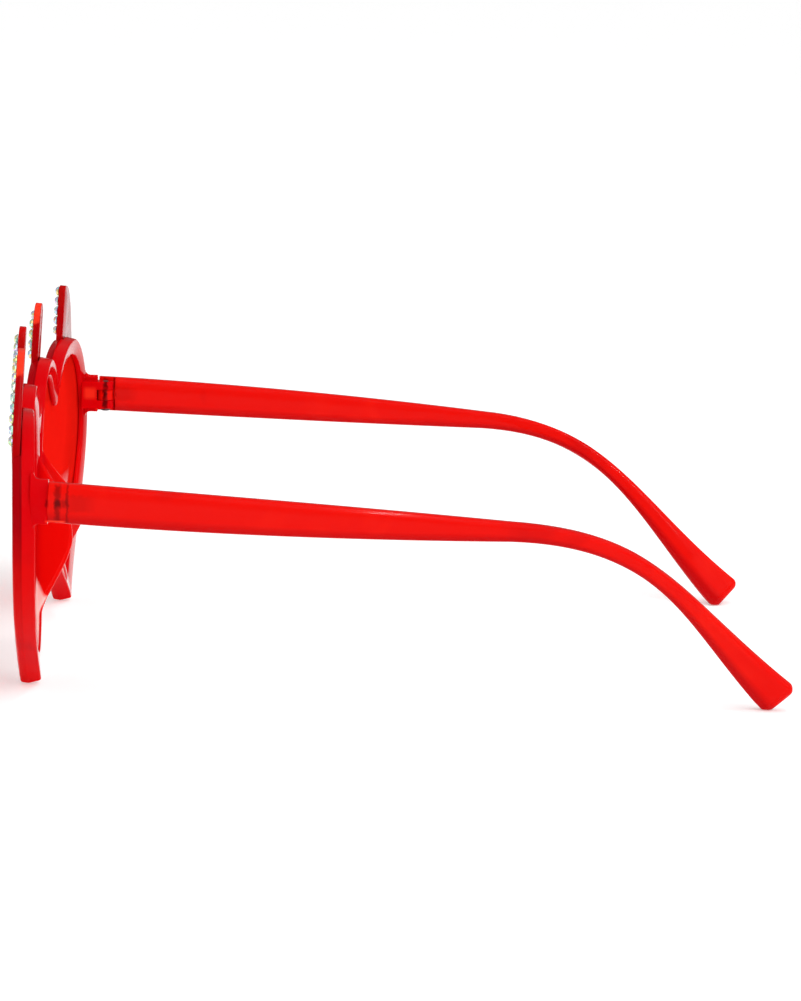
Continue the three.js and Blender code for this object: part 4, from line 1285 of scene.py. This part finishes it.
class GLASSES_OT_temples(bpy.types.Operator):
    """Model the two temples with their ear pieces and hinge knuckles"""

    bl_idname = "glasses.temples"
    bl_label = "Temples"

    def execute(self, context):
        loops = np.array(self.loops(context.scene))
        left = drawn("temple_left", [[Vector(point) for point in loop] for loop in loops])
        self.open_hinge(context.scene, left)
        self.press_marks(context.scene.party_temples, left)
        mark(stood(left), "level", self.level(loops))
        for temple, side in zip((left, reflected(left, "temple_right")), SIDES):
            smooth(temple)
            dress(temple, f"{side}_temple", "red_plastic", temple_plastic(), f"{side}_temple")
        return {"FINISHED"}

    def level(self, loops):
        """A measure of a place's height in its section, from the lower edge to the upper one."""
        middles = loops.mean(axis=1)
        upper = loops[:, :loops.shape[1] // 2].mean(axis=1) - middles
        tall = np.abs(np.einsum("rpk,rk->rp", loops - middles[:, None], upper)).max(axis=1)

        def measure(place):
            away = np.array(place) - middles
            ring = (away ** 2).sum(axis=1).argmin()
            return float(away[ring] @ upper[ring] / tall[ring])

        return measure

    def loops(self, scene):
        """Sections of the left temple from its butt to its rounded tip."""
        t, hinge = scene.party_temples, scene.party_hinge
        pin = hinge_pin()
        outside = hinge.pin_inset - t.thickness / 2
        start = pin + Vector((outside, -hinge.pin_setback, 0))
        bend = pin + Vector((outside - t.bow / 2, t.length, -t.drop))
        tip = bend + Vector((-t.ear_tuck, t.ear_reach, 0))
        tip.z = t.rest
        third = t.length / 3
        leaving = Vector((-t.bow, third, -t.drop / 3))
        shaft = (start, start + Vector((t.bow, third, -t.drop / 3)), bend - leaving, bend)
        ear = (bend, bend + leaving.normalized() * t.run_in, tip + Vector(t.run_out), tip)
        shares = [(step + 1) / t.steps for step in range(t.steps)]
        high, thick, twist = self.section(t, False, 0)
        less = t.butt_edge * 2
        loops = [self.ring(t, shaft, 0, high - less, thick - less, twist)]
        for share in (t.butt_edge / t.length, *shares):
            loops.append(self.ring(t, shaft, share, *self.section(t, False, share)))
        for share in shares:
            loops.append(self.ring(t, ear, share, *self.section(t, True, share)))
        ahead = self.heading(ear, 1)
        high, thick, twist = self.section(t, True, 1)
        for step in range(1, TIP_STEPS + 1):
            angle = step * TIP_TURN
            less = 2 * t.tip_round * (1 - math.cos(angle))
            ring = self.ring(t, ear, 1, high - less, thick - less, twist)
            loops.append([point + ahead * t.tip_round * math.sin(angle) for point in ring])
        return loops

    def heading(self, curve, share):
        """Direction of a curve."""
        a, b, c, d = curve
        rest = 1 - share
        way = (b - a) * rest ** 2 + (c - b) * (2 * rest * share) + (d - c) * share ** 2
        return way.normalized()

    def section(self, t, on_ear, share):
        """Height, thickness and twist at a share of the shaft or of the ear piece."""
        if not on_ear:
            thick = mix(t.thickness, t.waist_thickness, share)
            return mix(t.hinge_height, t.bend_height, share ** 2), thick, 0
        before = max(0, 1 - share / t.ear_waist)
        after = max(0, (share - t.ear_waist) / (1 - t.ear_waist))
        slim = mix(t.waist_height, t.bend_height, before ** 2)
        eased = min(1, share / t.ear_waist)
        twist = t.ear_twist * eased ** 2 * (3 - 2 * eased)
        return mix(slim, t.tip_height, after ** 2), t.waist_thickness, twist

    def ring(self, t, curve, share, height, thickness, twist):
        """One section, square to the middle line, its top leaning outwards by the twist."""
        ahead = self.heading(curve, share)
        level = ahead.cross(Vector((0, 0, 1))).normalized()
        side = Matrix.Rotation(twist, 3, ahead) @ level
        up = side.cross(ahead)
        middle = along(curve, share)
        points = []
        for number in range(t.sides):
            angle = (number + 0.5) * 2 * math.pi / t.sides
            across, above = (
                math.copysign(abs(value) ** (2 / t.squareness), value)
                for value in (math.cos(angle), math.sin(angle))
            )
            points.append(middle + side * (across * thickness / 2) + up * (above * height / 2))
        return points

    def open_hinge(self, scene, temple):
        """Hollow the butt round the knuckles of the front, and add the temple's own knuckle."""
        t, hinge = scene.party_temples, scene.party_hinge
        radius, play = hinge.knuckle_radius, hinge.pin_fit
        skin = hinge.pin_inset - t.skin
        end = radius + hinge.fit
        tall = t.hinge_height
        pocket = block((-SPARE, -hinge.pin_setback - SPARE, -tall), (skin, end, tall))
        combined(temple, [pocket], "DIFFERENCE")
        half = hinge.knuckle_height / 2 + hinge.fit - play
        arm = block((0, -radius / 2, -half), (skin + play, end + play, half))
        combined(temple, [barrel(radius, -half, half), arm], "UNION")
        bore = barrel(hinge.pin_radius + play, -half - SPARE, half + SPARE)
        combined(temple, [bore], "DIFFERENCE")

    def press_marks(self, t, temple):
        """Shallow round marks of the mould's ejectors on the inner face."""
        bpy.context.view_layer.update()
        for back, height in ((t.mark_fore, t.mark_fore_height), (t.mark_aft, t.mark_aft_height)):
            middle = Vector((0, back, height))
            found, place, normal, _ = temple.ray_cast(middle, Vector((1, 0, 0)))
            if not found:
                continue
            bpy.ops.object.select_all(action="DESELECT")
            bpy.ops.mesh.primitive_cylinder_add(
                vertices=MARK_SIDES, radius=t.mark_radius, depth=t.mark_depth * 2, location=place,
                rotation=normal.to_track_quat("Z", "Y").to_euler(),
            )
            combined(temple, [settle(bpy.context.object)], "DIFFERENCE")


class GLASSES_OT_pins(bpy.types.Operator):
    """Model the two headed hinge pins"""

    bl_idname = "glasses.pins"
    bl_label = "Hinge Pins"

    # Steps of the domed head, as shares of its height and of the width before, and its recess, as
    # a share of its radius and of its height
    HEAD_STEPS = ((0.55, 1), (0.3, 0.86), (0.15, 0.62))
    RECESS_EDGE = 0.2
    RECESS_DEPTH = 0.25

    def execute(self, context):
        hinge = context.scene.party_hinge
        top = stack_top()
        left = barrel(hinge.pin_radius, -top - hinge.pin_fit, top, "hinge_pin_left")
        edit(left)
        pick_faces(left, lambda face: face.normal.z < -0.9)
        centre = hinge_pin()
        pull(0, hinge.head_radius / hinge.pin_radius, centre)
        for drop, share in self.HEAD_STEPS:
            pull(-hinge.head_height * drop, share, centre)
        bpy.ops.mesh.inset(thickness=hinge.head_radius * self.RECESS_EDGE)
        pull(hinge.head_height * self.RECESS_DEPTH)
        end = centre.z + top - 1e-5
        pick_faces(left, lambda face: face.normal.z > 0.9 and face.calc_center_median().z > end)
        pull(hinge.pin_end, hinge.pin_taper, centre)
        close(left)
        for pin, side in zip((left, reflected(left, "hinge_pin_right")), SIDES):
            smooth(pin)
            dress(pin, "front", "pin_steel", pin_steel(), f"{side}_hinge_pin")
        return {"FINISHED"}


class GLASSES_OT_crests(bpy.types.Operator):
    """Model the four crest plates with softened edges"""

    bl_idname = "glasses.crests"
    bl_label = "Crest Plates"

    def execute(self, context):
        crest = context.scene.party_crest
        for side in SIDES:
            for place in ("outer", "inner"):
                node = f"{side}_{place}_crest"
                obj = copied(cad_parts[node].data, f"{place}_crest_{side}")
                edit(obj)
                bpy.ops.mesh.select_all(action="SELECT")
                bpy.ops.mesh.remove_doubles(threshold=1e-6)
                bpy.ops.mesh.dissolve_limited(angle_limit=math.radians(3))
                close(obj)
                applied(
                    obj, "BEVEL", width=crest.edge, segments=3, limit_method="ANGLE",
                    angle_limit=math.radians(50),
                )
                smooth(obj)
                catches = node in ("left_outer_crest", "right_inner_crest")
                self.light_tip(obj, crest.tip_lit if catches else crest.tip_dull)
                dress(obj, "front", "red_plastic", crest_plastic(), node)
        return {"FINISHED"}

    def light_tip(self, obj, light):
        """Note how much light the edge faces of a plate catch near its tip."""
        caught = obj.data.attributes.new("tip_light", "FLOAT", "FACE")
        for entry, face in zip(caught.data, obj.data.polygons):
            entry.value = light if abs(face.normal.y) < 0.5 else 0


class GLASSES_OT_stones(bpy.types.Operator):
    """Model one faceted stone and set a copy of it at each place on the crests"""

    bl_idname = "glasses.stones"
    bl_label = "Stones"

    # Steps in the film's range between a stone's own tint and that of a facet, and their spread
    TINT_STEPS = (0, 0, 0.16, 0.32, 0.8)
    TINT_SPREAD = 0.05

    def execute(self, context):
        pattern = self.cut(context.scene.party_crest)
        rng = random.Random(7)
        for name in sorted(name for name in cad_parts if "_stone_" in name):
            stone = copied(pattern.data, f"set_{name}")
            stone.data.transform(self.seat(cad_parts[name].data, rng.uniform(0, math.tau)))
            tints = stone.data.attributes.new("facet_tint", "FLOAT", "FACE")
            base = rng.random()
            for entry in tints.data:
                tint = base + rng.choice(self.TINT_STEPS)
                entry.value = (tint + rng.uniform(-self.TINT_SPREAD, self.TINT_SPREAD)) % 1
            dress(stone, "front", "stone", stone_glass(), name)
        bpy.data.objects.remove(pattern)
        return {"FINISHED"}

    def cut(self, crest):
        """A round stone with a girdle, two rings of crown facets and a flat table."""
        bpy.ops.object.select_all(action="DESELECT")
        sides, radius = crest.stone_sides, crest.stone_radius
        bpy.ops.mesh.primitive_circle_add(vertices=sides, radius=radius, fill_type="NGON")
        obj = bpy.context.object
        bpy.ops.object.mode_set(mode="EDIT")
        bpy.ops.mesh.select_all(action="SELECT")
        pull(crest.stone_girdle)
        table = crest.stone_table / radius / crest.stone_ring
        for rise, share in (
            (crest.stone_break - crest.stone_girdle, crest.stone_ring),
            (crest.stone_height - crest.stone_break, table),
        ):
            pull(rise, share)
            bpy.ops.transform.rotate(
                value=math.pi / sides, orient_axis="Z", center_override=(0, 0, 0)
            )
        bpy.ops.mesh.select_all(action="SELECT")
        bpy.ops.mesh.normals_make_consistent(inside=False)
        pick_faces(obj, lambda face: len(face.verts) == 4 and face.normal.z > 0.05)
        bpy.ops.mesh.quads_convert_to_tris(quad_method="SHORTEST_DIAGONAL")
        return close(obj)

    def seat(self, mesh, spin):
        """Where a CAD stone lies, as a matrix from its base and its axis."""
        places = np.unique(np.array([vert.co for vert in mesh.vertices]).round(7), axis=0)
        middle = places.mean(axis=0)
        axis = np.linalg.svd(places - middle)[2][2]
        axis = axis if axis[1] < 0 else -axis
        depth = ((places - middle) @ axis).min()
        ahead = Vector(axis)
        turned = ahead.to_track_quat("Z", "Y").to_matrix().to_4x4() @ Matrix.Rotation(spin, 4, "Z")
        return Matrix.Translation(Vector(middle) + ahead * float(depth)) @ turned


class GLASSES_OT_stage(bpy.types.Operator):
    """Set up the pale floor, the soft light and the camera"""

    bl_idname = "glasses.stage"
    bl_label = "Studio"

    # Size of the floor and its place just below the glasses
    FLOOR_SIZE = 14
    FLOOR_HEIGHT = -0.0002

    # The dim card behind the glasses, as bands of the directions to it
    CARD_ACROSS = (-1.0, 0.15, 0.25)
    CARD_UPRIGHT = (0.2, 0.2, 0.2)

    # Places, targets and sizes of the lights
    KEY_PLACE = Vector((0.6, 0.5, 0.8))
    KEY_TARGET = Vector((0, 0, 0))
    KEY_SPREAD = math.radians(70)
    STRIP_PLACE = Vector((0.5, 0.18, 0.9))
    STRIP_TARGET = Vector((0, 0.18, 0))
    STRIP_SIZE = (0.02, 1.0)

    # The camera's place and its axes to the right and up
    CAMERA_PLACE = (0.7633486, -0.013097, 0.1568045)
    CAMERA_RIGHT = Vector((0.01500927, 0.99961391, 0.02338265))
    CAMERA_UP = Vector((-0.16434049, -0.02060102, 0.98618852))

    def execute(self, context):
        studio = context.scene.party_studio
        self.floor(studio)
        context.scene.world = self.sky(studio)
        context.scene.view_settings.view_transform = "Standard"
        self.key(studio)
        self.strip(studio)
        self.camera(context.scene, studio)
        return {"FINISHED"}

    def sky(self, studio):
        """An even light all round but for the dim card, and plain white to the camera."""
        world = bpy.data.worlds.new("pale_studio")
        world.use_nodes = True
        make = Recipe(world.node_tree)
        sky = world.node_tree.nodes["Background"].inputs
        sky["Color"].default_value = (1, 1, 1, 1)
        way = make.axes(make.node("ShaderNodeTexCoord").outputs["Generated"])
        across = make.band(way["X"], *self.CARD_ACROSS)
        card = make.times(across, make.band(way["Z"], *self.CARD_UPRIGHT))
        seen = make.node("ShaderNodeLightPath").outputs["Is Camera Ray"]
        strength = make.maths("MAXIMUM", make.ramp(card, 0.0, 1.0, studio.sky, studio.card), seen)
        world.node_tree.links.new(strength, sky["Strength"])
        return world

    def floor(self, studio):
        """A wide pale floor, lit a little from below."""
        bpy.ops.object.select_all(action="DESELECT")
        bpy.ops.mesh.primitive_plane_add(size=self.FLOOR_SIZE, location=(0, 0, self.FLOOR_HEIGHT))
        obj = settle(bpy.context.object, "floor")
        material, make = fresh_material("pale_floor")
        grain = make.noise(make.place(), 30.0, 3.0)["Fac"]
        make.shade({
            "Base Color": studio.floor,
            "Roughness": make.ramp(grain, 0.0, 1.0, 0.8, 0.95),
            "Emission Color": studio.floor,
            "Emission Strength": studio.floor_lit,
        })
        obj.data.materials.append(material)

    def key(self, studio):
        """A broad soft light from above the camera's shoulder."""
        light = bpy.data.lights.new("key_light", "SUN")
        light.energy = studio.key
        light.angle = self.KEY_SPREAD
        self.aim("key_light", light, self.KEY_PLACE, self.KEY_TARGET)

    def strip(self, studio):
        """A narrow strip across, high up, for short lights along the upper edges."""
        light = bpy.data.lights.new("strip_light", "AREA")
        light.shape = "RECTANGLE"
        light.size, light.size_y = self.STRIP_SIZE
        light.energy = studio.strip
        self.aim("strip_light", light, self.STRIP_PLACE, self.STRIP_TARGET)

    def aim(self, name, light, place, target):
        """Put a light at a place and turn it to a target."""
        obj = bpy.data.objects.new(name, light)
        bpy.context.scene.collection.objects.link(obj)
        obj.location = place
        obj.rotation_mode = "QUATERNION"
        obj.rotation_quaternion = (target - place).to_track_quat("-Z", "Y")

    def camera(self, scene, studio):
        """A long lens beside the glasses, a little above them."""
        data = bpy.data.cameras.new("side_camera")
        data.lens = studio.lens
        data.clip_start, data.clip_end = 0.05, 50
        obj = bpy.data.objects.new("side_camera", data)
        scene.collection.objects.link(obj)
        right, up = self.CAMERA_RIGHT, self.CAMERA_UP
        turned = Matrix((right, up, right.cross(up))).transposed().to_4x4()
        obj.matrix_world = Matrix.Translation(self.CAMERA_PLACE) @ turned
        scene.camera = obj


class GLASSES_PT_panel(bpy.types.Panel):
    """Pieces of the glasses and their settings"""

    bl_label = "Party Glasses"
    bl_idname = "GLASSES_PT_panel"
    bl_space_type = "VIEW_3D"
    bl_region_type = "UI"
    bl_category = "Glasses"

    def draw(self, context):
        for operator in OPERATORS:
            self.layout.operator(operator.bl_idname)
        for label, _ in SETTINGS:
            box = self.layout.box()
            group = getattr(context.scene, label)
            for key in group.__annotations__:
                box.prop(group, key)


SETTINGS = (
    ("party_hearts", HeartSizes),
    ("party_front", FrontSizes),
    ("party_hinge", HingeSizes),
    ("party_temples", TempleSizes),
    ("party_crest", CrestSizes),
    ("party_finishes", Finishes),
    ("party_studio", StudioSettings),
)
OPERATORS = (
    GLASSES_OT_front,
    GLASSES_OT_lenses,
    GLASSES_OT_temples,
    GLASSES_OT_pins,
    GLASSES_OT_crests,
    GLASSES_OT_stones,
    GLASSES_OT_stage,
)


def register():
    for label, group in SETTINGS:
        bpy.utils.register_class(group)
        setattr(bpy.types.Scene, label, PointerProperty(type=group))
    for made in (*OPERATORS, GLASSES_PT_panel):
        bpy.utils.register_class(made)


def unregister():
    for made in (GLASSES_PT_panel, *reversed(OPERATORS)):
        bpy.utils.unregister_class(made)
    for label, group in reversed(SETTINGS):
        delattr(bpy.types.Scene, label)
        bpy.utils.unregister_class(group)


def main():
    register()
    bpy.ops.glasses.front()
    bpy.ops.glasses.lenses()
    bpy.ops.glasses.temples()
    bpy.ops.glasses.pins()
    bpy.ops.glasses.crests()
    bpy.ops.glasses.stones()
    bpy.ops.glasses.stage()


if __name__ == "__main__":
    main()
